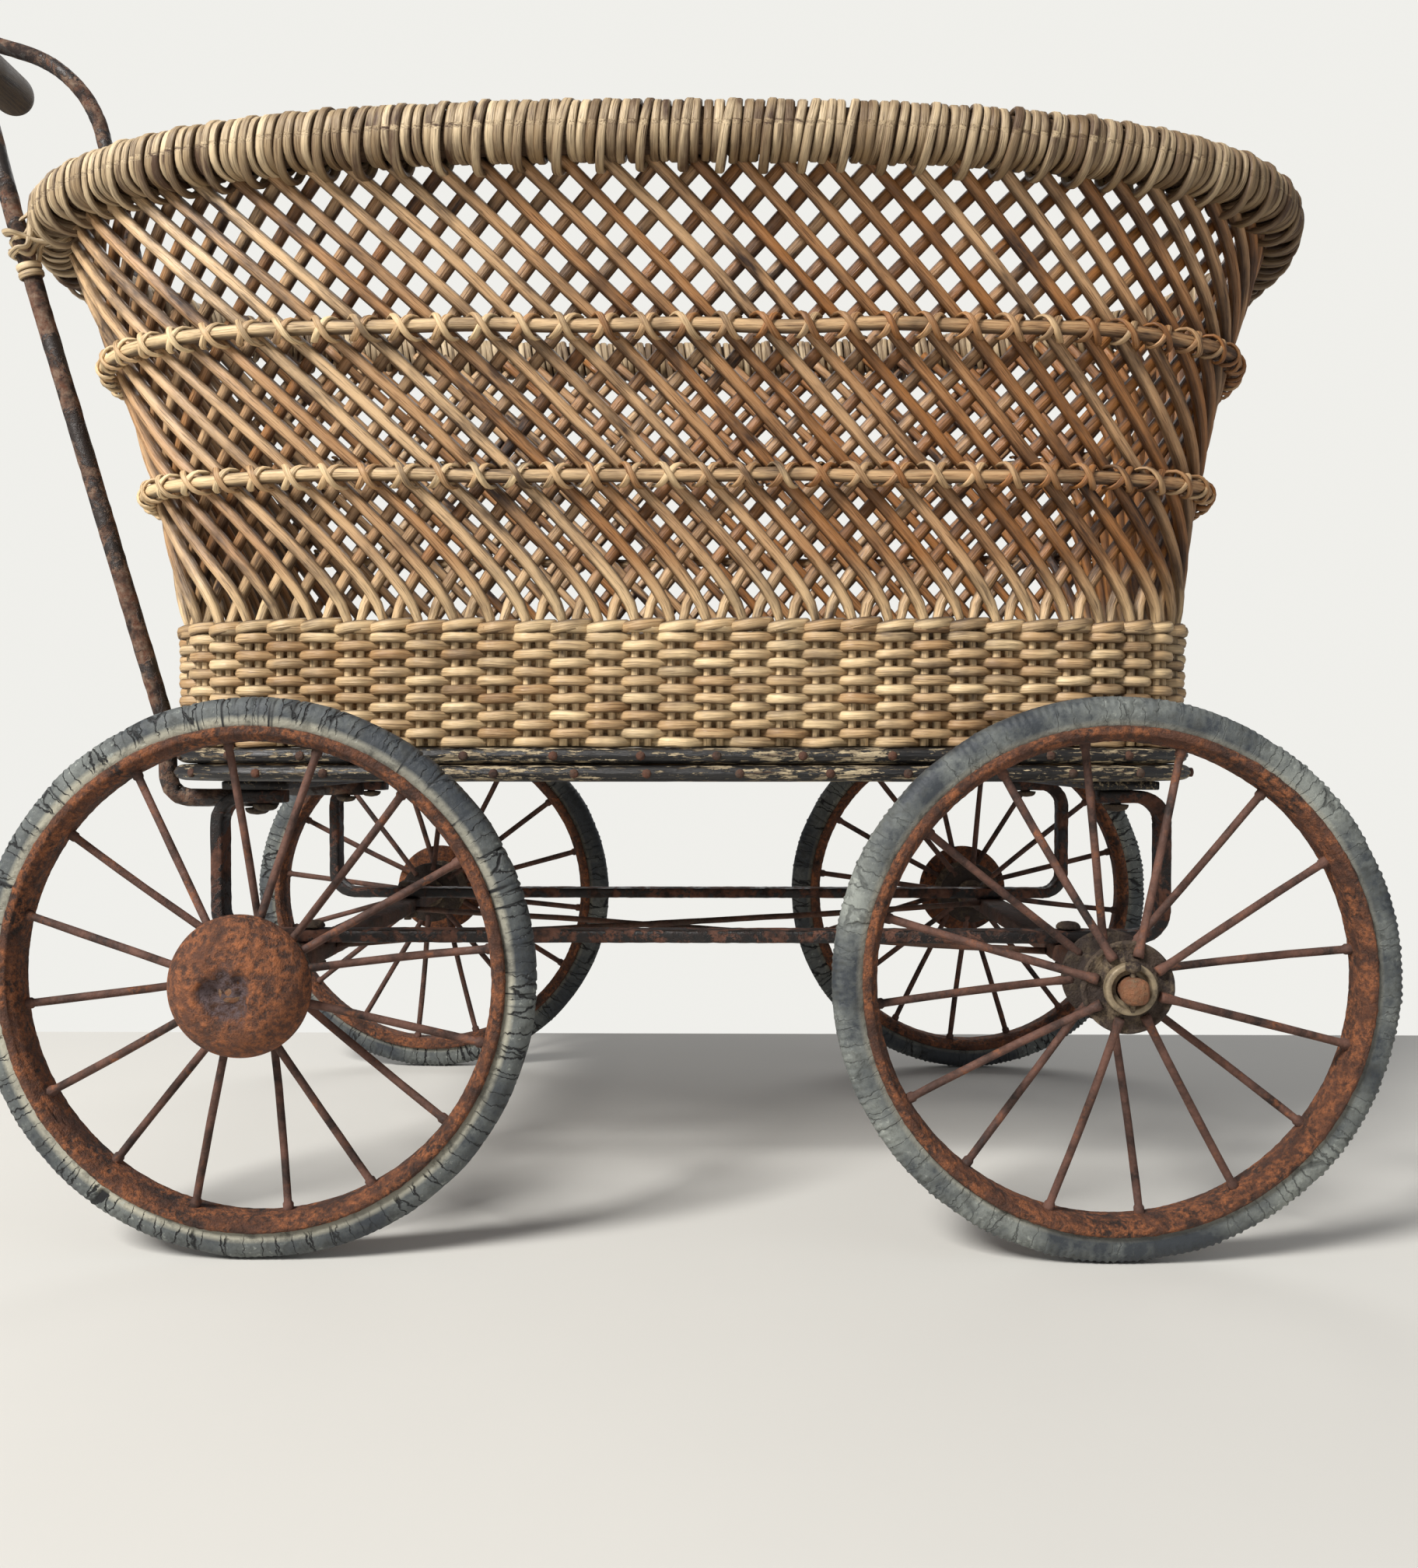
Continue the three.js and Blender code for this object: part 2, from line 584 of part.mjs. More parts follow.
function spokedHub() {
  const inFlange = flangeThickness - hubInboard;
  const outFlange = hubOutboard - hubLip - flangeThickness;
  const barrel = turned([
    [boreRadius, -hubInboard], [flangeRadius, -hubInboard], [flangeRadius, inFlange],
    [barrelRadius, inFlange + hubLip], [barrelRadius, outFlange], [flangeRadius, outFlange],
    [flangeRadius, hubOutboard - hubLip], [barrelRadius, hubOutboard - hubLip],
    [barrelRadius, hubOutboard],
    [boreRadius, hubOutboard]], hubFacets);
  const spokes = Array.from({ length: spokeCount }, (_, i) => {
    const angle = THREE.MathUtils.degToRad(spokePhase) + i * 2 * Math.PI / spokeCount;
    const y = i % 2 ? outFlange : inFlange;
    const start = flangeRadius - spokeRoot;
    const end = rimInner - 2 * touchGap;
    const [c, s] = [Math.cos(angle), Math.sin(angle)];
    const splay = Math.sign(y) * spokeSplay;
    return roundBar([start * c, y, start * s], [end * c, splay, end * s], spokeRadius, 4);
  });
  return join([barrel, ...spokes]);
}

function bush() {
  const low = hubOutboard + touchGap;
  const high = low + bushLength;
  return turned([[boreRadius, low], [bushRadius, low], [bushRadius, high], [boreRadius, high]], hubFacets);
}

// Domed cap with a flat back plate that seats on the outer flange.
function hubCap() {
  const seat = hubOutboard - hubLip + touchGap;
  const clearOfBush = bushRadius + capBushGap;
  const arc = (radius, height, low, steps) => Array.from({ length: steps + 1 }, (_, i) => {
    const angle = i * Math.PI / 2 / steps;
    return [radius * Math.cos(angle), low + height * Math.sin(angle)];
  });
  const outside = arc(capRadius, capHeight, seat, 4);
  const hollow = capHeight - capWall - capPlate;
  const inside = arc(capRadius - capWall, hollow, seat + capPlate, 4).reverse();
  outside[4][0] = 0;
  inside[0][0] = 0;
  const profile = [...inside, [clearOfBush, seat + capPlate], [clearOfBush, seat], ...outside];
  return turned(profile, hubFacets);
}

function washer() {
  const high = -hubInboard - touchGap;
  const low = high - washerThickness;
  return turned([[boreRadius, low], [washerRadius, low], [washerRadius, high], [boreRadius, high]],
    hubFacets);
}

function linchPin() {
  const y = hubOutboard + 2 * touchGap + bushLength + pinRadius;
  return roundBar([0, y, -pinLength / 2], [0, y, pinLength / 2], pinRadius, 8);
}

ends.forEach(([end, ex]) => sides.forEach(([side, sy]) => {
  const label = `${end}_${side}`;
  const wheel = new THREE.Group();
  wheel.position.set(ex * wheelbase / 2, sy * wheelPlane, axleZ);
  wheel.rotation.z = sy > 0 ? 0 : Math.PI;
  place(wheel, `tyre_${label}`, tyre(), 'rubber');
  place(wheel, `rim_${label}`, rim(), 'rust');
  place(wheel, `spoked_hub_${label}`, spokedHub(), 'rust');
  place(wheel, `hub_bush_${label}`, bush(), 'brass');
  if (cappedWheels.includes(label)) place(wheel, `hub_cap_${label}`, hubCap(), 'rust');
  place(wheel, `axle_washer_${label}`, washer(), 'rust');
  place(wheel, `linch_pin_${label}`, linchPin(), 'rust');
  pram.add(wheel);
}));

// Centre the pram's length on the origin.
const rearmost = barX - pushBarRadius * Math.cos(Math.PI / pushBarFacets);
const foremost = rimOutline.x + rimOutline.a + rimReach;
pram.position.x = -(rearmost + foremost) / 2;
pram.updateMatrixWorld(true);

export default pram;
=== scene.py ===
"""Finished surfaces of an antique wicker doll's pram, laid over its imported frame."""

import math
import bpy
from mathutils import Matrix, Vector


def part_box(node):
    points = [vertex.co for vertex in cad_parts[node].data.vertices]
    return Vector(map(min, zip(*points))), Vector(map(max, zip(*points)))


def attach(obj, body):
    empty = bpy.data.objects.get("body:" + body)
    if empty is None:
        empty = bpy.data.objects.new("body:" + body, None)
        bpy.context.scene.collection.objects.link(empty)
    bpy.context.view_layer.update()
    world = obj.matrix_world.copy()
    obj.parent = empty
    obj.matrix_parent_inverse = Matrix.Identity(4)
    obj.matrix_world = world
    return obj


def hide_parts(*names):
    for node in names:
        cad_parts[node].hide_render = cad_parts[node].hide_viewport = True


bl_info = {
    "name": "Wicker Doll's Pram",
    "version": (1, 0, 0),
    "blender": (4, 5, 0),
    "location": "3D View > Sidebar > Doll's Pram",
    "description": "Builds the cane, iron, rubber and wood of a wicker doll's pram",
    "category": "Object",
}

import bpy
import numpy as np
from bpy.props import (
    FloatProperty,
    FloatVectorProperty,
    IntProperty,
    PointerProperty,
)

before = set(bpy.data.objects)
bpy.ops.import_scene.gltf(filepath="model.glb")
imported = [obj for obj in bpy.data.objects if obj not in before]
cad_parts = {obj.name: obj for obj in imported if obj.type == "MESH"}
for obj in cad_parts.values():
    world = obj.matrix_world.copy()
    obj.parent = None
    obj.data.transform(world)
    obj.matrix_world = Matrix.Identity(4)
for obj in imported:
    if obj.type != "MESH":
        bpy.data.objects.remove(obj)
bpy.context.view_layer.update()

MM = 0.001
TURN = 2 * math.pi
SMALLEST = 0.05 * MM
# How far along the grain pattern each path of a set starts after the one before it.
GRAIN_STEP = 0.73
# A profile whose first radius is under this is closed on the axis.
AXIS_REACH = 0.2 * MM
WHEELS = ("rear_right", "front_right", "rear_left", "front_left")
SIDES = {"right": -1, "left": 1}
ENDS = {"rear": -1, "front": 1}


# ---- Places read from the frame ---------------------------------------------------


def corners(node):
    """Lowest and highest corner of a frame node as arrays."""
    low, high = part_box(node)
    return np.array(low), np.array(high)


def middle(node):
    """Centre of a frame node's box."""
    low, high = corners(node)
    return (low + high) / 2


BAND_LOW, BAND_HIGH = corners("basket_band")
RIM_LOW, RIM_HIGH = corners("basket_rim")
BAND_TOP = BAND_HIGH[2]
RIM_Z = middle("basket_rim")[2]


def size(prop_name, millimetres, words):
    """A length property whose default is given in millimetres."""
    return FloatProperty(name=prop_name, description=words, default=millimetres * MM,
                         min=SMALLEST, unit="LENGTH", precision=5)


def colour(prop_name, rgb, words):
    """A colour property whose default is given as sRGB bytes."""
    linear = [((c / 255 + 0.055) / 1.055) ** 2.4 if c > 10 else c / 255 / 12.92 for c in rgb]
    return FloatVectorProperty(name=prop_name, description=words, subtype="COLOR", size=3,
                               default=linear, min=0, max=1)


class PramBasketSizes(bpy.types.PropertyGroup):
    """Sizes of the wickerwork."""

    pairs: IntProperty(name="Stake pairs", description="Pairs of stakes round the basket",
                       default=86, min=20)
    stake: size("Stake", 3.8, "Diameter of a stake in the band")
    cane: size("Lattice cane", 5.6, "Diameter of a cane in the lattice")
    weaver: size("Weaver", 3.3, "Thickness of a weaver in the band")
    weaver_height: size("Weaver height", 4.9, "Height of a weaver in the band")
    rows: IntProperty(name="Weaver rows", description="Rows of weaving", default=14, min=2)
    stake_depth: size("Stake depth", 5.2, "Outside of the basket to the line of the stakes")
    lean: FloatProperty(name="Lean", description="Pair pitches a cane moves on for each metre of height",
                        default=56.5)
    lean_start: size("Lean start", 12, "Height over which a cane bends from upright to its lean")
    hoop: size("Tie ring", 6, "Diameter of the rings tied round the lattice")
    tie: size("Tie strip", 3.0, "Width of a crossed tie")
    wrap: size("Wrap width", 4.1, "Width of one turn of the rim wrapping")
    wrap_thickness: size("Wrap thickness", 2.5, "Thickness of the rim wrapping")
    loop_drop: size("Loop drop", 4.6, "How much lower each fourth turn hangs round the cane ends")
    rim_radius: size("Rim radius", 11, "Outer radius of the wrapped rim")
    planks: IntProperty(name="Floor planks", description="Planks in the floor", default=6, min=1)


class PramIronSizes(bpy.types.PropertyGroup):
    """Sizes of the undercarriage and the handle."""

    bar_corner: size("Frame corner", 12, "Corner radius of the side frames")
    foot_length: size("Rod foot", 52, "Length of a handle rod turned in under the base")
    foot_corner: size("Rod foot corner", 10, "Bend radius at the foot of a handle rod")
    knee_rise: size("Knee rise", 8, "Top of the base to where the rods begin to slant")
    knee_radius: size("Knee bend", 60, "Bend radius of that knee")
    shoulder_rise: size("Shoulder rise", 143, "Rim to the shoulder bend of a handle rod")
    shoulder_reach: size("Shoulder reach", 36, "How far back the shoulder bend stands from the rim")
    shoulder_radius: size("Shoulder radius", 65, "Bend radius of the shoulder")
    nail_pitch: size("Nail pitch", 35, "Distance from nail to nail along the base rails")
    lash_strip: size("Lashing strip", 3.2, "Width of a lashing strip")


class PramWheelSizes(bpy.types.PropertyGroup):
    """Sizes of the wheels."""

    spokes: IntProperty(name="Spokes", description="Spokes in a wheel", default=16, min=4)
    spoke: size("Spoke", 3.4, "Diameter of a spoke")
    flange: size("Flange radius", 17.5, "Radius of the hub flanges")
    barrel: size("Barrel radius", 9.5, "Radius of the hub barrel")
    spoke_phase: FloatProperty(name="Spoke phase", description="Angle of the first spoke",
                               default=math.radians(83), unit="ROTATION")
    cracks: IntProperty(name="Cracks", description="Cracks round a tyre", default=95, min=0)
    lugs: IntProperty(name="Lugs", description="Lugs round the tread", default=230, min=10)


class PramFinish(bpy.types.PropertyGroup):
    """Colours of the aged materials."""

    cane_pale: colour("Pale cane", (214, 180, 138), "Cane at the handle end")
    cane_warm: colour("Warm cane", (154, 102, 54), "Cane along the middle")
    # Also the painted shade along the sides of lattice canes, weavers, ties and the rim core.
    cane_dark: colour("Dark cane", (44, 23, 9), "Stained cane")
    straw_pale: colour("Pale straw", (236, 208, 162), "Weavers where clean")
    straw_dark: colour("Dark straw", (158, 116, 72), "Weavers where stained")
    wrap_pale: colour("Pale wrap", (220, 196, 158), "Rim wrapping where bleached")
    wrap_grey: colour("Grey wrap", (140, 116, 84), "Rim wrapping where weathered")
    # Also the painted shade along the sides of the wrapping turns and lashing strips.
    wrap_brown: colour("Brown wrap", (74, 50, 30), "Rim wrapping where stained")
    rust_bright: colour("Bright rust", (158, 98, 62), "Fresh orange rust")
    rust_mid: colour("Rust", (98, 62, 45), "Brown rust")
    # Also the painted shade on the parts of each hub behind its front flange.
    rust_dark: colour("Dark rust", (42, 31, 27), "Old dark rust")
    spoke_rust: colour("Spoke rust", (106, 74, 62), "Purplish rust on the spokes")
    black_paint: colour("Black paint", (27, 26, 26), "Remains of black paint")
    worn_iron: colour("Worn iron", (50, 44, 41), "Dark skin of the handle rods")
    # Painted highlight: pale grey spots among the rust of the handle rods, standing for their silvery
    # glints.
    rod_painted_highlight: colour("Rod scuff", (128, 108, 92), "Scuffed spots on the handle rods")
    cap_bare: colour("Bare cap", (92, 78, 80), "Purplish grey crown of a beaten cap")
    hub_dirt: colour("Hub dirt", (122, 106, 84), "Dried grease and dirt on a hub")
    spindle_end: colour("Spindle end", (138, 92, 62), "Worn end of a spindle")
    hub_iron: colour("Hub iron", (78, 64, 53), "Grey-brown skin of a hub")
    bare_wood: colour("Bare wood", (198, 180, 146), "Wood under flaked paint")
    rubber: colour("Rubber", (50, 55, 60), "Perished rubber")
    rubber_bloom: colour("Rubber bloom", (158, 162, 154), "Pale worn rubber")
    rubber_wall: colour("Rubber wall", (174, 170, 152), "Creamy band of a tyre by the rim")
    crack: colour("Crack", (14, 15, 17), "Bottom of a crack")
    brass: colour("Brass", (148, 132, 106), "Tarnished brass")
    bar_wood: colour("Handle wood", (82, 66, 46), "Turned handle wood")
    floor_wood: colour("Floor wood", (126, 98, 66), "Floor boards")
    stage: colour("Stage", (212, 210, 204), "Floor of the stage")


# ---- Meshes ------------------------------------------------------------------------


def build(name, points, quads, ends=None, attributes=None):
    """Mesh object from points, quads and equal-sided end faces, smooth shaded, with point
    attributes of one number or three."""
    mesh = bpy.data.meshes.new(name)
    points = np.asarray(points, np.float32).reshape(-1, 3)
    quads = np.asarray(quads, np.int32).reshape(-1, 4)
    corner_index = [quads.ravel()]
    starts = [np.arange(len(quads)) * 4]
    if ends is not None and len(ends):
        ends = np.asarray(ends, np.int32)
        corner_index.append(ends.ravel())
        starts.append(len(quads) * 4 + np.arange(len(ends)) * ends.shape[1])
    corner_index = np.concatenate(corner_index)
    starts = np.concatenate(starts)
    mesh.vertices.add(len(points))
    mesh.vertices.foreach_set("co", points.ravel())
    mesh.loops.add(len(corner_index))
    mesh.loops.foreach_set("vertex_index", corner_index)
    mesh.polygons.add(len(starts))
    mesh.polygons.foreach_set("loop_start", starts)
    mesh.polygons.foreach_set("use_smooth", np.ones(len(starts), bool))
    for key, values in (attributes or {}).items():
        values = np.asarray(values, np.float32)
        kind, field = ("FLOAT", "value") if values.ndim == 1 else ("FLOAT_VECTOR", "vector")
        mesh.attributes.new(key, kind, "POINT").data.foreach_set(field, values.ravel())
    mesh.update(calc_edges=True)
    mesh.validate()
    obj = bpy.data.objects.new(name, mesh)
    bpy.context.scene.collection.objects.link(obj)
    return obj


def unit(v):
    """Vectors scaled to length one along the last axis."""
    return v / np.maximum(np.linalg.norm(v, axis=-1, keepdims=True), 1e-12)


def angles(count):
    """Angles of count even steps round a full turn, from nought."""
    return np.arange(count) * TURN / count


def points_at(x, y, z):
    """Points (..., 3) from three coordinates, each an array or one number for all."""
    return np.stack(np.broadcast_arrays(x, y, z), -1)


def round_section(sides, flat=1.0):
    """Ring of points (outward, across), flat being its width over its thickness."""
    angle = angles(sides)
    return np.stack([np.cos(angle), flat * np.sin(angle)], -1)


def sweep(name, centre, outward, section, tone=None, closed=False):
    """Sections carried along M paths of K stations.

    centre and outward are (M, K, 3); section is (S, 2) or (M, K, S, 2) in metres. A point is
    centre + section_0 * n + section_1 * b, with t the tangent of the path, b = t x outward
    scaled to one, and n = b x t. The point attribute "cane" holds (length along, section),
    and "tone" one number for each path or each station.
    """
    centre = np.asarray(centre, float)
    outward = np.broadcast_to(outward, centre.shape)
    count, stations, _ = centre.shape
    if closed:
        tangent = unit(np.roll(centre, -1, 1) - np.roll(centre, 1, 1))
        step = np.linalg.norm(np.roll(centre, -1, 1) - centre, axis=-1)
        along = np.concatenate([np.zeros((count, 1)), np.cumsum(step, 1)[:, :-1]], 1)
    else:
        tangent = unit(np.gradient(centre, axis=1))
        step = np.linalg.norm(np.diff(centre, axis=1), axis=-1)
        along = np.concatenate([np.zeros((count, 1)), np.cumsum(step, 1)], 1)
    across = unit(np.cross(tangent, outward))
    normal = np.cross(across, tangent)
    section = np.broadcast_to(section, (count, stations) + np.shape(section)[-2:])
    points = (centre[:, :, None] + section[..., :1] * normal[:, :, None]
              + section[..., 1:] * across[:, :, None])
    sides = section.shape[2]
    index = np.arange(count * stations * sides).reshape(count, stations, sides)
    nxt = np.roll(index, -1, 1) if closed else index[:, 1:]
    here = index if closed else index[:, :-1]
    quads = np.stack([here, np.roll(here, -1, 2), np.roll(nxt, -1, 2), nxt], -1)
    ends = None
    if not closed:
        ends = np.concatenate([index[:, 0, ::-1], index[:, -1]])
    tone = np.full(count, 0.5) if tone is None else np.asarray(tone, float)
    tone = tone.reshape(count, -1, 1)
    local = np.concatenate([np.broadcast_to(along[:, :, None, None], points.shape[:3] + (1,)),
                            section], -1)
    local[..., 0] += np.arange(count)[:, None, None] * GRAIN_STEP
    return build(name, points, quads, ends, {
        "cane": local.reshape(-1, 3),
        "tone": np.broadcast_to(tone, points.shape[:3]).ravel()})


def revolve(name, profiles, segments, placed, shape=None, attributes=None):
    """Closed profiles (M, P, 2) of (radius, height) turned about Y.

    A point is (r cos a, h, r sin a) before placed moves it. A profile that ends on the axis
    is closed there by a face of one tiny ring, and any other comes back to its start.
    shape(points) may change the points, and placed(points) moves them to their wheel.
    """
    profiles = np.asarray(profiles, float)
    angle = angles(segments)
    r, h = profiles[..., 0], profiles[..., 1]
    points = points_at(r[:, :, None] * np.cos(angle), h[:, :, None], r[:, :, None] * np.sin(angle))
    if shape is not None:
        points = shape(points)
    count, rows = r.shape
    index = np.arange(count * rows * segments).reshape(count, rows, segments)
    solid_ends = r[:, 0].max() < AXIS_REACH
    nxt = index[:, 1:] if solid_ends else np.roll(index, -1, 1)
    here = index[:, :-1] if solid_ends else index
    quads = np.stack([here, nxt, np.roll(nxt, -1, 2), np.roll(here, -1, 2)], -1)
    ends = np.concatenate([index[:, 0], index[:, -1, ::-1]]) if solid_ends else None
    return build(name, placed(points), quads, ends, attributes)


def fillet(outline, radius, steps):
    """Closed outline with its corners rounded: each corner becomes points on a quadratic arc
    that starts and ends a radius away from it, or 0.45 of an edge where that is less."""
    p = np.asarray(outline, float)
    result = []
    share = np.linspace(0, 1, steps + 1)[:, None]
    for i, corner in enumerate(p):
        before, after = p[i - 1] - corner, p[(i + 1) % len(p)] - corner
        reach = [min(radius, 0.45 * np.linalg.norm(v)) for v in (before, after)]
        a, b = corner + unit(before) * reach[0], corner + unit(after) * reach[1]
        result.append((1 - share) ** 2 * a + 2 * share * (1 - share) * corner + share**2 * b)
    return np.concatenate(result)


def bent_path(corner_list, step):
    """Path in the XZ plane through corners (x, z, radius), its bends true arcs, with a
    station about every step. Returns points (K, 2)."""
    v = [np.array(c[:2], float) for c in corner_list]
    parts = [v[0][None]]
    for i in range(1, len(v) - 1):
        before, after = unit(v[i] - v[i - 1]), unit(v[i + 1] - v[i])
        turn = math.atan2(before[0] * after[1] - before[1] * after[0], before @ after)
        radius = corner_list[i][2]
        start = v[i] - before * radius * math.tan(abs(turn) / 2)
        centre = start + np.array([-before[1], before[0]]) * math.copysign(radius, turn)
        angle = np.linspace(0, turn, max(3, int(abs(turn) * radius / step) + 1))
        arm = start - centre
        parts.append(centre + np.stack([
            arm[0] * np.cos(angle) - arm[1] * np.sin(angle),
            arm[0] * np.sin(angle) + arm[1] * np.cos(angle)], -1))
    parts.append(v[-1][None])
    path = np.concatenate(parts)
    length = np.concatenate([[0], np.cumsum(np.linalg.norm(np.diff(path, axis=0), axis=-1))])
    fine = np.unique(np.concatenate([np.arange(0, length[-1], step), length]).round(6))
    fine = fine[np.concatenate([[True], np.diff(fine) > step * 0.2])]
    return np.stack([np.interp(fine, length, path[:, 0]), np.interp(fine, length, path[:, 1])], -1)


def closed_curve(places, count):
    """Smooth closed curve through places (P, 3): between two of them a cubic whose slope at
    each is half the step from the one before to the one after."""
    t = np.arange(count) * len(places) / count
    low = t.astype(int)
    f = (t - low)[:, None]
    before, a, b, after = (np.roll(places, k, 0)[low] for k in (1, 0, -1, -2))
    m, n = (b - before) / 2, (after - a) / 2
    return ((2 * f**3 - 3 * f**2 + 1) * a + (f**3 - 2 * f**2 + f) * m
            + (3 * f**2 - 2 * f**3) * b + (f**3 - f**2) * n)


def smooth_noise(shape, count, rng):
    """Random numbers from -1 to 1 that change smoothly over the last axis: count random
    values, with a share t^2 (3 - 2 t) of the next one mixed in between two of them."""
    values = rng.uniform(-1, 1, shape[:-1] + (count,))
    where = np.linspace(0, count - 1, shape[-1])
    low = np.floor(where).astype(int).clip(0, count - 2)
    t = where - low
    t = t * t * (3 - 2 * t)
    return values[..., low] * (1 - t) + values[..., low + 1] * t


# ---- The basket's outline ------------------------------------------------------------


FLARE_POWER = 1.6
BASE_SQUARENESS = 6.0
RIM_SQUARENESS = 2.6
RIM_SET = 2 * MM
OUTLINE_SAMPLES = 2881
LENGTH_SAMPLES = 1441


def ring_at(u, z, grow=0.0):
    """Points at shares u round the basket at height z, grow outside its outline.

    The outline is the superellipse |x/a|^n + |y/b|^n = 1. Its half-lengths grow from the
    band's to the rim's as rise^1.6, n falls from 6 to 2.6, and u is a share of its length,
    from the front and anticlockwise. Returns points and outward normals, both (..., 3).
    """
    u = np.asarray(u, float)
    rise = min(max((z - BAND_TOP) / (RIM_Z - BAND_TOP), 0), 1)
    base = (BAND_HIGH - BAND_LOW)[:2] / 2
    height = (RIM_HIGH - RIM_LOW)[2]
    top = ((RIM_HIGH - RIM_LOW)[:2] - height) / 2 - RIM_SET
    half = base + (top - base) * rise**FLARE_POWER
    shift = middle("basket_band")[0] * (1 - rise) + middle("basket_rim")[0] * rise
    n = BASE_SQUARENESS + (RIM_SQUARENESS - BASE_SQUARENESS) * rise

    def at(t):
        c, s = np.cos(t), np.sin(t)
        k = (np.abs(c) ** n + np.abs(s) ** n) ** (-1 / n)
        return half[0] * c * k, half[1] * s * k

    t = np.linspace(0, TURN, OUTLINE_SAMPLES)
    x, y = at(t)
    length = np.concatenate([[0], np.cumsum(np.hypot(np.diff(x), np.diff(y)))])
    x, y = at(np.interp(u % 1, length / length[-1], t))
    normal = unit(np.stack([np.sign(x) * np.abs(x / half[0]) ** (n - 1) / half[0],
                            np.sign(y) * np.abs(y / half[1]) ** (n - 1) / half[1], 0 * x], -1))
    points = points_at(x + shift, y, z)
    return points + normal * np.asarray(grow)[..., None], normal


def ring_length(z):
    """Length round the outline at height z."""
    points, _ = ring_at(np.linspace(0, 1, LENGTH_SAMPLES), z)
    return np.linalg.norm(np.diff(points, axis=0), axis=-1).sum()


# ---- Materials -------------------------------------------------------------------------


class Finish:
    """A node material with one Principled shader, and short names for the nodes it is made of."""

    def __init__(self, name, roughness=0.6, metallic=0.0):
        """New material with that name, roughness and metal share."""
        self.material = bpy.data.materials.new(name)
        self.material.use_nodes = True
        self.tree = self.material.node_tree
        self.shader = self.tree.nodes["Principled BSDF"]
        self.shader.inputs["Roughness"].default_value = roughness
        self.shader.inputs["Metallic"].default_value = metallic
        self.place = self.tree.nodes.new("ShaderNodeTexCoord").outputs["Object"]

    def put(self, value, socket):
        """Links an output to an input, or sets the input to a number or colour."""
        if isinstance(value, bpy.types.NodeSocket):
            self.tree.links.new(value, socket)
        elif hasattr(value, "__len__"):
            value = tuple(value)
            if len(socket.default_value) == 4 and len(value) == 3:
                value += (1.0,)
            socket.default_value = value
        else:
            socket.default_value = value

    def attribute(self, name, output="Vector"):
        """A point attribute, read as a vector or, by "Fac", as a number."""
        node = self.tree.nodes.new("ShaderNodeAttribute")
        node.attribute_name = name
        return node.outputs[output]

    def stretch(self, vector, scale, location=(0, 0, 0)):
        """A vector scaled along each axis and then moved."""
        node = self.tree.nodes.new("ShaderNodeMapping")
        self.put(vector, node.inputs["Vector"])
        node.inputs["Scale"].default_value = scale
        node.inputs["Location"].default_value = location
        return node.outputs["Vector"]

    def vector(self, x):
        """The vector (x, 0, 0)."""
        node = self.tree.nodes.new("ShaderNodeCombineXYZ")
        self.put(x, node.inputs["X"])
        return node.outputs["Vector"]

    def noise(self, scale, detail=4.0, rough=0.6, vector=None, distortion=0.0):
        """Cloudy noise from 0 to 1, in object coordinates unless a vector is given."""
        node = self.tree.nodes.new("ShaderNodeTexNoise")
        self.put(vector or self.place, node.inputs["Vector"])
        for key, value in (("Scale", scale), ("Detail", detail), ("Roughness", rough),
                           ("Distortion", distortion)):
            node.inputs[key].default_value = value
        return node.outputs["Fac"]

    def cells(self, scale, vector=None, feature="F1"):
        """Distance to the nearest cell point, or to the edge of the cell."""
        node = self.tree.nodes.new("ShaderNodeTexVoronoi")
        node.feature = feature
        self.put(vector or self.place, node.inputs["Vector"])
        node.inputs["Scale"].default_value = scale
        return node.outputs["Distance"]

    def span(self, value, low, high, out_low=0.0, out_high=1.0):
        """A value carried from low..high to out_low..out_high and held at the ends."""
        node = self.tree.nodes.new("ShaderNodeMapRange")
        for key, item in zip(("Value", "From Min", "From Max", "To Min", "To Max"),
                             (value, low, high, out_low, out_high)):
            self.put(item, node.inputs[key])
        return node.outputs["Result"]

    def sum(self, operation, a, b, c=None):
        """One step of arithmetic on two or three values."""
        node = self.tree.nodes.new("ShaderNodeMath")
        node.operation = operation
        self.put(a, node.inputs[0])
        self.put(b, node.inputs[1])
        if c is not None:
            self.put(c, node.inputs[2])
        return node.outputs[0]

    def axis(self, letter, vector=None):
        """One coordinate of a vector, or of the place on the object."""
        node = self.tree.nodes.new("ShaderNodeSeparateXYZ")
        self.put(vector or self.place, node.inputs[0])
        return node.outputs[letter]

    def mix(self, share, a, b):
        """Colour a with a share of colour b laid over it."""
        node = self.tree.nodes.new("ShaderNodeMix")
        node.data_type = "RGBA"
        self.put(share, node.inputs["Factor"])
        self.put(a, [s for s in node.inputs if s.name == "A" and s.type == "RGBA"][0])
        self.put(b, [s for s in node.inputs if s.name == "B" and s.type == "RGBA"][0])
        return [s for s in node.outputs if s.type == "RGBA"][0]

    def colour(self, value):
        """Sets the base colour."""
        self.put(value, self.shader.inputs["Base Color"])

    def rough(self, value):
        """Sets the roughness."""
        self.put(value, self.shader.inputs["Roughness"])

    def bumps(self, height, distance, strength=1.0):
        """Gives the surface relief from a height."""
        node = self.tree.nodes.new("ShaderNodeBump")
        node.inputs["Strength"].default_value = strength
        node.inputs["Distance"].default_value = distance
        self.put(height, node.inputs["Height"])
        self.put(node.outputs["Normal"], self.shader.inputs["Normal"])


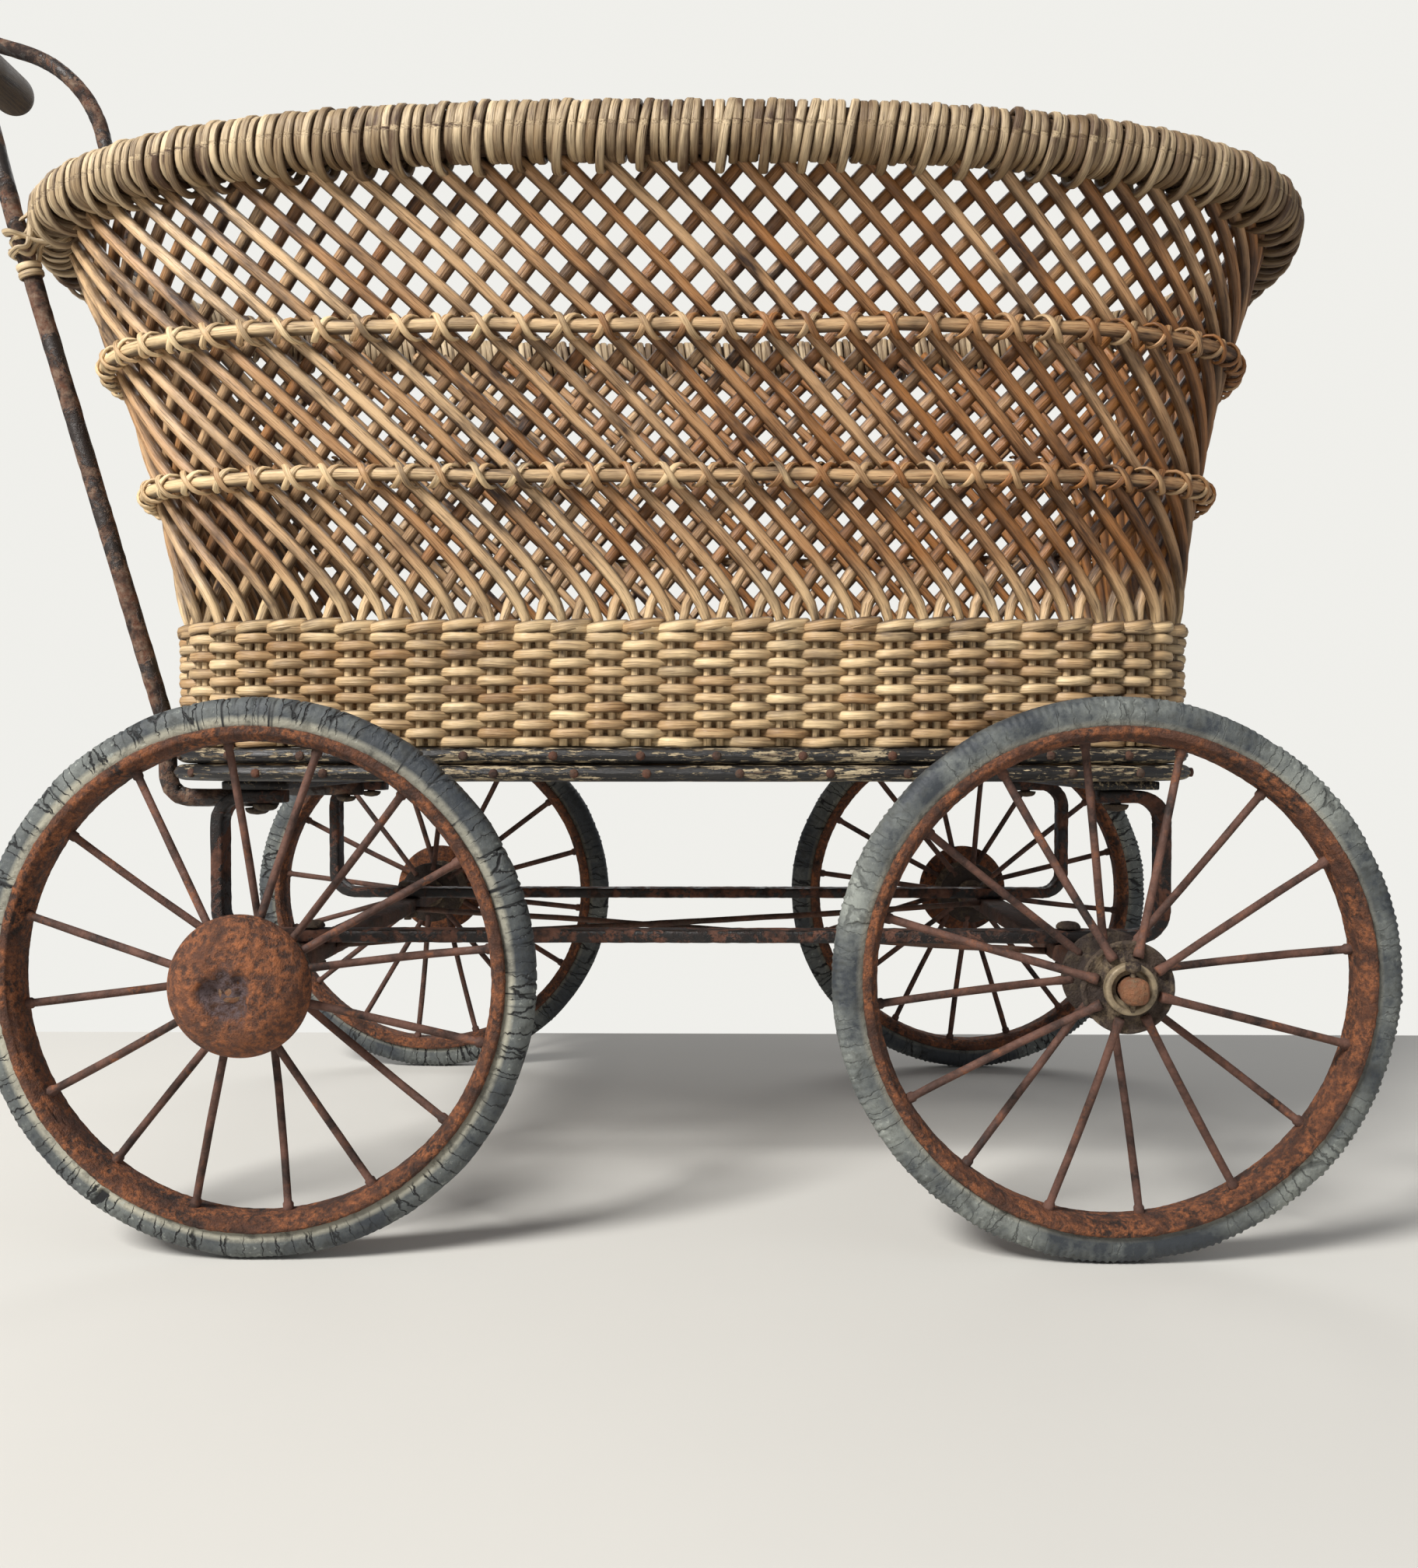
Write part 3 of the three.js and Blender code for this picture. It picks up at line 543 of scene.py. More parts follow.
def cane_finish(name, pale, warm, dark, edge, stain=0.7, drift=True, roughness=0.42,
                paler_below=None):
    """Aged cane: each piece has its own tone, long streaks run with the grain, dark nodes
    and stains come from coarse noise, and painted shade darkens the sides of each piece from
    0.55 of the edge distance out, for the shade in the gaps between neighbouring pieces. With
    drift the colour deepens from the handle to the front. The colour paler_below, if given,
    is mixed in below the top of the band."""
    f = Finish(name, roughness)
    local = f.attribute("cane")
    grain = f.noise(1.0, 3, 0.65, f.stretch(local, (60, 1500, 1500)))
    patch = f.noise(1.0, 4, 0.6, f.stretch(local, (26, 160, 160)))
    stains = f.noise(13, 5, 0.65)
    tone = f.attribute("tone", "Fac")
    share = f.sum("MULTIPLY_ADD", tone, 0.6, f.sum("MULTIPLY", grain, 0.6))
    if drift:
        share = f.sum("ADD", share, f.span(f.axis("X"), -0.22, 0.36, -0.26, 0.32))
    base = f.mix(f.span(share, 0.2, 0.95), pale, warm)
    if paler_below is not None:
        low = f.span(f.axis("Z"), BAND_TOP - 0.002, BAND_TOP + 0.03, 1.0, 0.0)
        base = f.mix(f.sum("MULTIPLY", low, 0.75), base, paler_below)
    darkness = f.sum("MULTIPLY", f.span(patch, 0.44, 0.62), f.span(stains, 0.36, 0.6))
    base = f.mix(f.sum("MULTIPLY", darkness, stain + 0.3), base, dark)
    streak = f.span(grain, 0.54, 0.7)
    base = f.mix(f.sum("MULTIPLY", streak, stain), base, dark)
    # Painted shade: the sides of each piece darken towards the dark colour, up to 0.85 of it, for the
    # shade in the gaps between neighbouring canes, weavers and turns.
    across = f.sum("ABSOLUTE", f.axis("Z", local), 0.0)
    f.colour(f.mix(f.span(across, 0.55 * edge, 1.02 * edge, 0.0, 0.85), base, dark))
    f.rough(f.span(patch, 0.3, 0.7, roughness - 0.1, roughness + 0.2))
    height = f.sum("ADD", grain, f.sum("MULTIPLY", patch, 0.8))
    f.bumps(height, 0.0009, 0.7)
    return f.material


def rust_finish(name, bright, mid, dark, bright_share=0.5, scale=1.0, pits=0.0009, bare=None):
    """Rusted iron: dark scale, brown rust and orange bloom in patches of three sizes, with
    pits and crust in relief. A bare colour, if there is one, shows where a point attribute asks
    for it: as real wear in the dents of a cap, and as painted shade on the inner parts of a hub."""
    f = Finish(name, 0.85, 0.15)
    broad = f.noise(34 * scale, 6, 0.7, distortion=0.4)
    fine = f.noise(260 * scale, 5, 0.7)
    crust = f.cells(420 * scale)
    base = f.mix(f.span(broad, 0.36, 0.6), dark, mid)
    shift = 0.3 * bright_share
    bloom = f.sum("MULTIPLY", f.span(fine, 0.42, 0.62),
                  f.span(f.noise(60 * scale, 4, 0.6), 0.62 - shift, 0.8 - shift))
    base = f.mix(bloom, base, bright)
    speck = f.span(crust, 0.0, 0.32, 1.0, 0.0)
    base = f.mix(f.sum("MULTIPLY", speck, f.span(broad, 0.5, 0.7, 0.15, 0.75)), base, dark)
    # The bare colour is real wear in a cap's dents and painted shade on a hub's inner parts.
    if bare is not None:
        wear_and_shade = f.sum("MULTIPLY_ADD", f.attribute("dent", "Fac"), 1.3,
                     f.span(broad, 0.3, 0.7, -0.6, 0.1))
        base = f.mix(f.span(wear_and_shade, 0.2, 0.8, 0.0, 0.85), base, f.mix(f.span(fine, 0.45, 0.6), bare, dark))
    f.colour(base)
    f.rough(f.span(fine, 0.3, 0.7, 0.62, 0.95))
    f.bumps(f.sum("ADD", fine, f.sum("MULTIPLY", broad, 1.4)), pits, 1.0)
    return f.material


def painted_iron_finish(name, paint, mid, dark, bright):
    """Black paint over iron, left in islands with rust between them."""
    f = Finish(name, 0.6, 0.2)
    broad = f.noise(42, 6, 0.75, distortion=0.6)
    fine = f.noise(300, 5, 0.7)
    # The bright colour spots the rust; on the handle rods it is a painted highlight.
    rust = f.mix(f.span(fine, 0.4, 0.65), mid, bright)
    rust = f.mix(f.span(f.noise(90, 4, 0.6), 0.45, 0.6), rust, dark)
    gone = f.span(f.sum("MULTIPLY_ADD", fine, 0.35, broad), 0.64, 0.7)
    f.colour(f.mix(gone, f.mix(f.span(fine, 0.4, 0.7), paint, dark), rust))
    f.rough(f.span(gone, 0.0, 1.0, 0.42, 0.9))
    f.bumps(f.sum("ADD", fine, f.sum("MULTIPLY", gone, -0.6)), 0.0007, 0.8)
    return f.material


def flaked_wood_finish(name, paint, wood, dark):
    """Black paint flaking off split cane in chips that follow the grain."""
    f = Finish(name, 0.5)
    local = f.attribute("cane")
    grain = f.noise(1.0, 5, 0.7, f.stretch(local, (70, 620, 620)), distortion=0.5)
    chips = f.noise(1.0, 5, 0.75, f.stretch(local, (110, 520, 520)))
    broad = f.noise(11, 3, 0.6)
    share = f.sum("ADD", chips, f.span(broad, 0.3, 0.7, -0.1, 0.09))
    gone = f.span(share, 0.535, 0.555)
    bare = f.mix(f.span(grain, 0.35, 0.65), wood, dark)
    f.colour(f.mix(gone, f.mix(f.span(grain, 0.5, 0.8), paint, (0.035, 0.032, 0.03)), bare))
    f.rough(f.span(gone, 0.0, 1.0, 0.34, 0.8))
    f.bumps(f.sum("MULTIPLY_ADD", gone, -0.7, grain), 0.0006, 0.8)
    return f.material


def wood_finish(name, base, dark, scale=(30, 260, 900), roughness=0.55):
    """Old wood with grain along its length, dark pores and paler worn places."""
    f = Finish(name, roughness)
    local = f.attribute("cane")
    grain = f.noise(1.0, 6, 0.7, f.stretch(local, scale), distortion=0.8)
    wear = f.noise(24, 4, 0.6)
    pale = f.mix(f.span(wear, 0.4, 0.7), base, [min(1, 1.7 * c) for c in base])
    f.colour(f.mix(f.span(grain, 0.42, 0.68), pale, dark))
    f.rough(f.span(wear, 0.3, 0.7, roughness - 0.12, roughness + 0.2))
    f.bumps(grain, 0.0005, 0.6)
    return f.material


def rubber_finish(name, rubber, bloom, wall, crack, bloom_share, crack_share):
    """Perished rubber: grey-blue, chalky where worn, pale by the rim, and black in cracks. The
    attribute "crack" marks the deep cracks, and the edges of long cells on the attribute
    "tread", bent by noise, draw a fine network between them."""
    f = Finish(name, 0.8)
    side = f.attribute("wall", "Fac")
    broad = f.noise(16, 5, 0.65)
    fine = f.noise(150, 5, 0.7)
    chalk = f.sum("MULTIPLY", f.span(f.sum("MULTIPLY_ADD", fine, 0.4, broad), 0.6, 0.86), bloom_share)
    base = f.mix(chalk, rubber, bloom)
    base = f.mix(f.sum("MULTIPLY", f.span(side, 0.3, 0.62), f.span(broad, 0.3, 0.6, 0.35, 0.95)),
                 base, wall)
    base = f.mix(f.span(fine, 0.5, 0.66, 0.0, 0.6), base, crack)
    scuffs = f.sum("MULTIPLY", f.span(f.noise(420, 3, 0.6), 0.6, 0.68),
                   f.span(broad, 0.45, 0.6, 0.0, 0.7))
    base = f.mix(scuffs, base, bloom)
    tread = f.attribute("tread")
    jag = f.noise(300, 2, 0.6)
    bent = f.tree.nodes.new("ShaderNodeVectorMath")
    bent.operation = "ADD"
    f.put(tread, bent.inputs[0])
    f.put(f.stretch(f.vector(jag), (0.004, 0, 0), (-0.002, 0, 0)), bent.inputs[1])
    split = f.cells(1.0, f.stretch(bent.outputs[0], (150, 26, 1)), "DISTANCE_TO_EDGE")
    away = f.sum("MULTIPLY", f.span(side, 0.3, 0.9, 1.0, 0.15), crack_share)
    network = f.sum("MULTIPLY", f.span(split, 0.01, 0.035, 1.0, 0.0),
                    f.span(f.sum("MULTIPLY", f.span(broad, 0.35, 0.6), away), 0.1, 0.5))
    base = f.mix(network, base, crack)
    f.colour(f.mix(f.span(f.attribute("crack", "Fac"), 0.35, 0.75, 0.0, crack_share), base, crack))
    f.rough(f.span(chalk, 0.0, 1.0, 0.62, 0.95))
    height = f.sum("MULTIPLY_ADD", broad, 0.8, fine)
    f.bumps(f.sum("SUBTRACT", height, f.sum("MULTIPLY", network, 2)), 0.0009, 0.8)
    return f.material


def brass_finish(name, brass, dark):
    """Dull brass with brown tarnish."""
    f = Finish(name, 0.7, 0.15)
    tarnish = f.noise(140, 5, 0.7)
    f.colour(f.mix(f.span(tarnish, 0.46, 0.72), brass, dark))
    f.rough(f.span(tarnish, 0.3, 0.7, 0.35, 0.75))
    f.bumps(tarnish, 0.0004, 0.5)
    return f.material


def finish(look):
    """The finish of that look, made from the colours of the finish settings the first time."""
    name = "aged_" + look
    if name in bpy.data.materials:
        return bpy.data.materials[name]
    c = bpy.context.scene.pram_finish
    makers = {
        "lattice_cane": (cane_finish, c.cane_pale, c.cane_warm, c.cane_dark, 2.8 * MM, 0.7, True,
                         0.42, c.straw_pale),
        "weaver_cane": (cane_finish, c.straw_pale, c.straw_dark, c.cane_dark, 2.5 * MM, 0.5, False),
        "rim_cane": (cane_finish, c.wrap_pale, c.wrap_grey, c.wrap_brown, 2.1 * MM, 0.9, True, 0.5),
        "tie_cane": (cane_finish, c.straw_pale, c.cane_warm, c.cane_dark, 2.6 * MM, 0.6, True, 0.5),
        "rim_core": (cane_finish, c.wrap_grey, c.wrap_brown, c.cane_dark, 12 * MM, 0.6, False, 0.7),
        "wheel_rust": (rust_finish, c.rust_bright, c.rust_mid, c.rust_dark, 0.8, 1.6, 0.0022),
        "spoke_rust": (rust_finish, c.rust_bright, c.spoke_rust, c.rust_dark, 0.2, 1.6, 0.0005),
        "cap_rust": (rust_finish, c.rust_bright, c.rust_mid, c.rust_dark, 1.0, 1.2, 0.0024,
                     c.cap_bare),
        # The hub's last colour, dark rust, is its painted shade.
        "hub_rust": (rust_finish, c.hub_dirt, c.hub_iron, c.rust_dark, 0.7, 1.4, 0.0016,
                     c.rust_dark),
        "nut_rust": (rust_finish, c.hub_dirt, c.spindle_end, c.rust_mid, 0.6, 1.6, 0.0012),
        "axle_rust": (rust_finish, c.hub_iron, c.rust_mid, c.rust_dark, 0.8, 1.2, 0.0012),
        "painted_iron": (painted_iron_finish, c.black_paint, c.rust_mid, c.rust_dark, c.spoke_rust),
        # The handle rods' last colour is a painted highlight.
        "rod_iron": (painted_iron_finish, c.worn_iron, c.rust_mid, c.rust_dark, c.rod_painted_highlight),
        "flaked_black_wood": (flaked_wood_finish, c.black_paint, c.bare_wood, c.cane_dark),
        "cracked_rubber": (rubber_finish, c.rubber, c.rubber_bloom, c.rubber_wall, c.crack, 0.45, 1.0),
        "chalky_rubber": (rubber_finish, c.rubber, c.rubber_bloom, c.rubber_wall, c.crack, 0.75, 0.3),
        "tarnished_brass": (brass_finish, c.brass, c.rust_dark),
        "handle_wood": (wood_finish, c.bar_wood, c.rust_dark),
        "floor_wood": (wood_finish, c.floor_wood, c.cane_dark, (18, 320, 320), 0.8),
    }
    maker, *values = makers[look]
    return maker(name, *values)


def dress(obj, look, slot, body, *nodes):
    """Gives a piece its finish and body, and hides the frame nodes it stands for. The slot argument is
    not used.
    """
    obj.data.materials.clear()
    obj.data.materials.append(finish(look))
    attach(obj, body)
    if nodes:
        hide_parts(*nodes)
    return obj


# ---- Operators -----------------------------------------------------------------------


class PRAM_OT_stage(bpy.types.Operator):
    """Floor, soft light and camera"""

    bl_idname = "pram.stage"
    bl_label = "Stage"

    eye = (0.0935, -0.7225, 0.209)
    yaw = math.radians(0.73)
    pitch = math.radians(-1.53)
    focal_length = 31.34

    def execute(self, context):
        scene = context.scene
        # The floor stops behind the pram, where a wall would stand on it.
        across, behind = 8.0, 0.27
        floor = build("stage_floor", [(-across, -across, 0), (across, -across, 0),
                                      (across, behind, 0), (-across, behind, 0)], [(0, 1, 2, 3)])
        f = Finish("stage_floor", 0.85)
        tint = scene.pram_finish.stage
        f.colour(f.mix(f.noise(3, 5, 0.6), [0.93 * c for c in tint], tint))
        floor.data.materials.append(f.material)

        # The camera sees a pale wall colour, and everything else a dimmer sky.
        world = bpy.data.worlds.new("studio")
        world.use_nodes = True
        nodes, links = world.node_tree.nodes, world.node_tree.links
        glow = nodes["Background"]
        glow.inputs["Color"].default_value = (0.93, 0.95, 1.0, 1)
        glow.inputs["Strength"].default_value = 0.24
        seen = nodes.new("ShaderNodeBackground")
        seen.inputs["Color"].default_value = (0.87, 0.865, 0.83, 1)
        blend, path = nodes.new("ShaderNodeMixShader"), nodes.new("ShaderNodeLightPath")
        links.new(path.outputs["Is Camera Ray"], blend.inputs["Fac"])
        links.new(glow.outputs[0], blend.inputs[1])
        links.new(seen.outputs[0], blend.inputs[2])
        links.new(blend.outputs[0], nodes["World Output"].inputs["Surface"])
        scene.world = world
        for name, place, width, power, tint in (
                ("key", (-1.5, -1.8, 2.2), 0.9, 136, (1.0, 0.985, 0.96)),
                ("fill", (2.2, -1.5, 1.2), 2.0, 6, (0.95, 0.97, 1.0)),
                ("back", (0.3, 2.6, 2.2), 2.4, 32, (1.0, 0.99, 0.97))):
            light = bpy.data.lights.new(name, "AREA")
            light.energy, light.size, light.color = power, width, tint
            lamp = bpy.data.objects.new(name, light)
            lamp.location = place
            aim = np.array([0.07, 0.0, 0.25]) - np.array(place)
            lamp.rotation_euler = aim_angles(aim)
            scene.collection.objects.link(lamp)

        data = bpy.data.cameras.new("camera")
        data.lens = self.focal_length
        data.sensor_width = 36
        data.clip_start = 0.01
        camera = bpy.data.objects.new("camera", data)
        camera.location = self.eye
        camera.rotation_euler = (math.pi / 2 + self.pitch, 0, self.yaw)
        scene.collection.objects.link(camera)
        scene.camera = camera
        scene.view_settings.view_transform = "Standard"
        return {"FINISHED"}


def aim_angles(direction):
    """Euler angles that turn a lamp's -Z to a direction."""
    x, y, z = unit(np.asarray(direction, float))
    return (math.acos(-z), 0, math.atan2(y, x) - math.pi / 2)


def cane_shift(s, up):
    """How far round the outline, as a share, a cane has leaned at a height above the band:
    lean (up - start (1 - e^(-up / start))) / pairs, so that it leaves the band upright."""
    return s.lean * (up - s.lean_start * (1 - np.exp(-up / s.lean_start))) / s.pairs


def beside_middle(s):
    """Share of the outline from the middle of a pair of stakes to either stake."""
    return 0.7 * s.stake / ring_length(BAND_TOP)


class PRAM_OT_canes(bpy.types.Operator):
    """Stakes that stand in the band and lean over each other as lattice canes"""

    bl_idname = "pram.canes"
    bl_label = "Stakes and lattice canes"

    def execute(self, context):
        s = context.scene.pram_basket
        rng = np.random.default_rng(4)
        levels = np.concatenate([
            np.linspace(BAND_LOW[2] + 0.3 * MM, BAND_TOP - 2 * MM, 5),
            np.linspace(BAND_TOP + 2 * MM, RIM_Z - 3 * MM, 30)])
        up = np.clip(levels - BAND_TOP, 0, None)
        shift = cane_shift(s, up)
        settle = 1 - np.exp(-up / (8 * MM))
        pair = (np.arange(s.pairs) + 0.5) / s.pairs
        beside = beside_middle(s)
        for layer, turn, depth in (("outer", -1, 0.5 * s.cane), ("inner", 1, 1.52 * s.cane)):
            u = (pair + turn * beside)[:, None] + turn * shift[None]
            u = u + smooth_noise((s.pairs, len(levels)), 7, rng) * 0.0006 * settle
            grow = -(s.stake_depth + (depth - s.stake_depth) * settle)
            columns = [ring_at(u[:, k], z, grow[k]) for k, z in enumerate(levels)]
            centre = np.stack([c[0] for c in columns], 1)
            outward = np.stack([c[1] for c in columns], 1)
            bow = smooth_noise((s.pairs, len(levels)), 9, rng) * 0.45 * MM * settle
            centre += outward * bow[..., None]
            radius = (s.stake + (s.cane - s.stake) * settle) / 2
            radius = radius * (1 + 0.06 * smooth_noise((s.pairs, len(levels)), 16, rng))
            radius *= rng.uniform(0.93, 1.06, (s.pairs, 1))
            section = round_section(8) * radius[:, :, None, None]
            # Painted shade: the inner layer's tone is raised by 0.3, so these canes, lying behind the
            # outer layer, come out darker and warmer.
            tone = rng.uniform(0, 1, s.pairs) + (0.3 if turn > 0 else 0)
            canes = sweep(f"lattice_{layer}_canes", centre, outward, section, tone)
            stands_for = ("basket_lattice",) if layer == "outer" else ()
            dress(canes, "lattice_cane", "rattan", "chassis", *stands_for)
        return {"FINISHED"}


class PRAM_OT_band(bpy.types.Operator):
    """Weavers of the band and the slanted border along its top"""

    bl_idname = "pram.band"
    bl_label = "Woven band"

    def execute(self, context):
        s = context.scene.pram_basket
        rng = np.random.default_rng(7)
        stations = s.pairs * 9
        u = np.arange(stations) / stations
        pitch = (BAND_TOP - BAND_LOW[2]) / s.rows
        radius = s.weaver / 2
        flat = s.weaver_height / s.weaver
        swing = (s.stake / 2 + radius) * 0.96
        rows, outs = [], []
        for row in range(s.rows):
            wave = np.cos(np.pi * (u * s.pairs - 0.5) + np.pi * row)
            wave = np.clip(1.25 * wave, -1, 1)
            wobble = 0.35 * MM * smooth_noise((stations,), s.pairs * 2, rng)
            z = BAND_LOW[2] + pitch * (row + 0.5)
            points, normal = ring_at(u, z, -s.stake_depth + swing * wave + wobble * 0.6)
            points[:, 2] += 0.3 * MM * smooth_noise((stations,), s.pairs * 2, rng)
            rows.append(points)
            outs.append(normal)
        thick = 1 + 0.07 * smooth_noise((s.rows, stations), s.pairs * 2, rng)
        section = round_section(8, flat) * (radius * thick)[..., None, None]
        weavers = sweep("band_weavers", np.array(rows), np.array(outs), section,
                        0.4 + 0.5 * smooth_noise((s.rows, stations), s.pairs // 2, rng), closed=True)
        dress(weavers, "weaver_cane", "straw", "chassis", "basket_band")

        share = np.linspace(-1, 1, 9)
        pair = (np.arange(s.pairs) + 0.5) / s.pairs
        lift = rng.uniform(-0.6, 0.6, s.pairs) * MM
        reach = 0.62 / s.pairs
        centre, outward = [], []
        for t in share:
            grow = -s.stake_depth + (s.stake / 2 + radius * 1.5) * math.cos(t * 1.9)
            points, normal = ring_at(pair + t * reach, BAND_TOP, grow + 0 * pair)
            points[:, 2] += t * 1.3 * MM + lift - 0.9 * MM
            centre.append(points)
            outward.append(normal)
        width = 0.85 + 0.15 * np.cos(share * 1.4)
        section = round_section(8, flat) * (radius * 1.1 * width)[None, :, None, None]
        border = sweep("band_border", np.stack(centre, 1), np.stack(outward, 1), section,
                       rng.uniform(0, 0.7, s.pairs))
        dress(border, "weaver_cane", "straw", "chassis")
        return {"FINISHED"}


class PRAM_OT_hoops(bpy.types.Operator):
    """Rings tied round the lattice with crossed strips"""

    bl_idname = "pram.hoops"
    bl_label = "Tie rings"

    def execute(self, context):
        s = context.scene.pram_basket
        rng = np.random.default_rng(11)
        for node in ("hoop_lower", "hoop_upper"):
            z = middle(node)[2]
            stations = 480
            u = np.arange(stations) / stations
            wander = 0.5 * MM * smooth_noise((stations,), 60, rng)
            points, normal = ring_at(u, z, s.hoop / 2 + 0.2 * MM + wander)
            points[:, 2] += 0.9 * MM * smooth_noise((stations,), 34, rng)
            hoop = sweep(f"{node}_cane", points[None], normal[None],
                         round_section(12) * s.hoop / 2, [0.4], closed=True)
            dress(hoop, "tie_cane", "rattan", "chassis", node)

            at = (np.arange(s.pairs) + 0.5) / s.pairs - beside_middle(s) - cane_shift(s, z - BAND_TOP)
            length = ring_length(z)
            angle = np.radians(np.linspace(-125, 125, 11))
            centre, outward = [], []
            for turn, lift in ((1, 0.0), (-1, 0.5)):
                reach = s.hoop / 2 + s.tie * (0.2 + 0.3 * lift)
                side = (turn * 6.2 * MM * angle / angle[-1])[None]
                side = side * rng.uniform(0.75, 1.15, (s.pairs, 1))
                columns = []
                for k, a in enumerate(angle):
                    grow = s.hoop / 2 + reach * math.cos(a) - (0.9 * MM if abs(a) > 1.6 else 0)
                    points, normal = ring_at(at + side[:, k] / length, z, grow + 0 * at)
                    points[:, 2] += reach * 1.25 * math.sin(a)
                    out = normal * math.cos(a) + np.array([0, 0, 1]) * math.sin(a)
                    columns.append((points, out))
                centre.append(np.stack([c[0] for c in columns], 1))
                outward.append(np.stack([c[1] for c in columns], 1))
            centre, outward = np.concatenate(centre), np.concatenate(outward)
            ties = sweep(f"{node}_ties", centre, outward, round_section(8, 1.9) * s.tie * 0.27,
                         rng.uniform(0, 1, len(centre)))
            dress(ties, "tie_cane", "rim_cane", "chassis")
        return {"FINISHED"}


class PRAM_OT_rim(bpy.types.Operator):
    """Wrapped rim: a core, close turns of cane, and longer loops round the cane ends"""

    bl_idname = "pram.rim"
    bl_label = "Wrapped rim"

    def execute(self, context):
        s = context.scene.pram_basket
        rng = np.random.default_rng(19)
        length = ring_length(RIM_Z)
        stations = 360
        u = np.arange(stations) / stations
        points, normal = ring_at(u, RIM_Z, RIM_SET)
        core_radius = s.rim_radius - 0.8 * s.wrap_thickness
        core = sweep("rim_core", points[None], normal[None],
                     round_section(14) * core_radius, [0.8], closed=True)
        dress(core, "rim_core", "rim_cane", "chassis")

        turns = int(round(length / s.wrap / 4)) * 4
        at = (np.arange(turns) + 0.5 + rng.uniform(-0.13, 0.13, turns)) / turns
        points, normal = ring_at(at, RIM_Z, RIM_SET)
        up = np.array([0, 0, 1.0])
        along = np.cross(up, normal)
        angle = angles(28)
        c, sn = np.cos(angle), np.sin(angle)
        squareness = 2.7
        square = 1 / (np.abs(c) ** squareness + np.abs(sn) ** squareness) ** (1 / squareness)
        is_loop = (np.arange(turns) % 4 == 0).astype(float)
        radius = (s.rim_radius - s.wrap_thickness / 2 + rng.uniform(-0.35, 0.3, turns) * MM
                  + is_loop * 0.55 * MM)[:, None]
        drop = (is_loop * s.loop_drop * rng.uniform(0.75, 1.15, turns)
                + (1 - is_loop) * rng.uniform(0, 0.9, turns) * MM)[:, None]
        low = np.clip(-sn, 0, 1)[None] ** 1.4
        slant = (1.1 + rng.uniform(-0.5, 0.9, turns) + 1.1 * is_loop)[:, None] * MM
        out = radius * square * c - low * is_loop[:, None] * 1.2 * MM
        high = radius * square * sn - drop * low
        lean = slant * sn + 0.5 * MM * rng.uniform(-1, 1, (turns, 1)) * c
        centre = (points[:, None] + out[..., None] * normal[:, None] + high[..., None] * up
                  + lean[..., None] * along[:, None])
        outward = c[None, :, None] * normal[:, None] + sn[None, :, None] * up
        half_width = s.wrap / 2 * rng.uniform(0.88, 1.06, turns)
        half_thick = s.wrap_thickness / 2 * rng.uniform(0.85, 1.1, turns)
        ring = np.array([(1, -0.55), (1, 0.55), (0.45, 1), (-0.8, 0.8), (-0.8, -0.8), (0.45, -1)])[::-1]
        section = np.stack([ring[:, 0] * half_thick[:, None], ring[:, 1] * half_width[:, None]], -1)
        section = np.broadcast_to(section[:, None], (turns, len(angle), len(ring), 2))
        tone = rng.uniform(-0.1, 1.1, (turns, 1)) + 0.45 * low
        tone = tone + 0.25 * smooth_noise((turns,), 30, rng)[:, None]
        wraps = sweep("rim_wraps", centre, outward, section, tone, closed=True)
        dress(wraps, "rim_cane", "rim_cane", "chassis", "basket_rim")
        return {"FINISHED"}


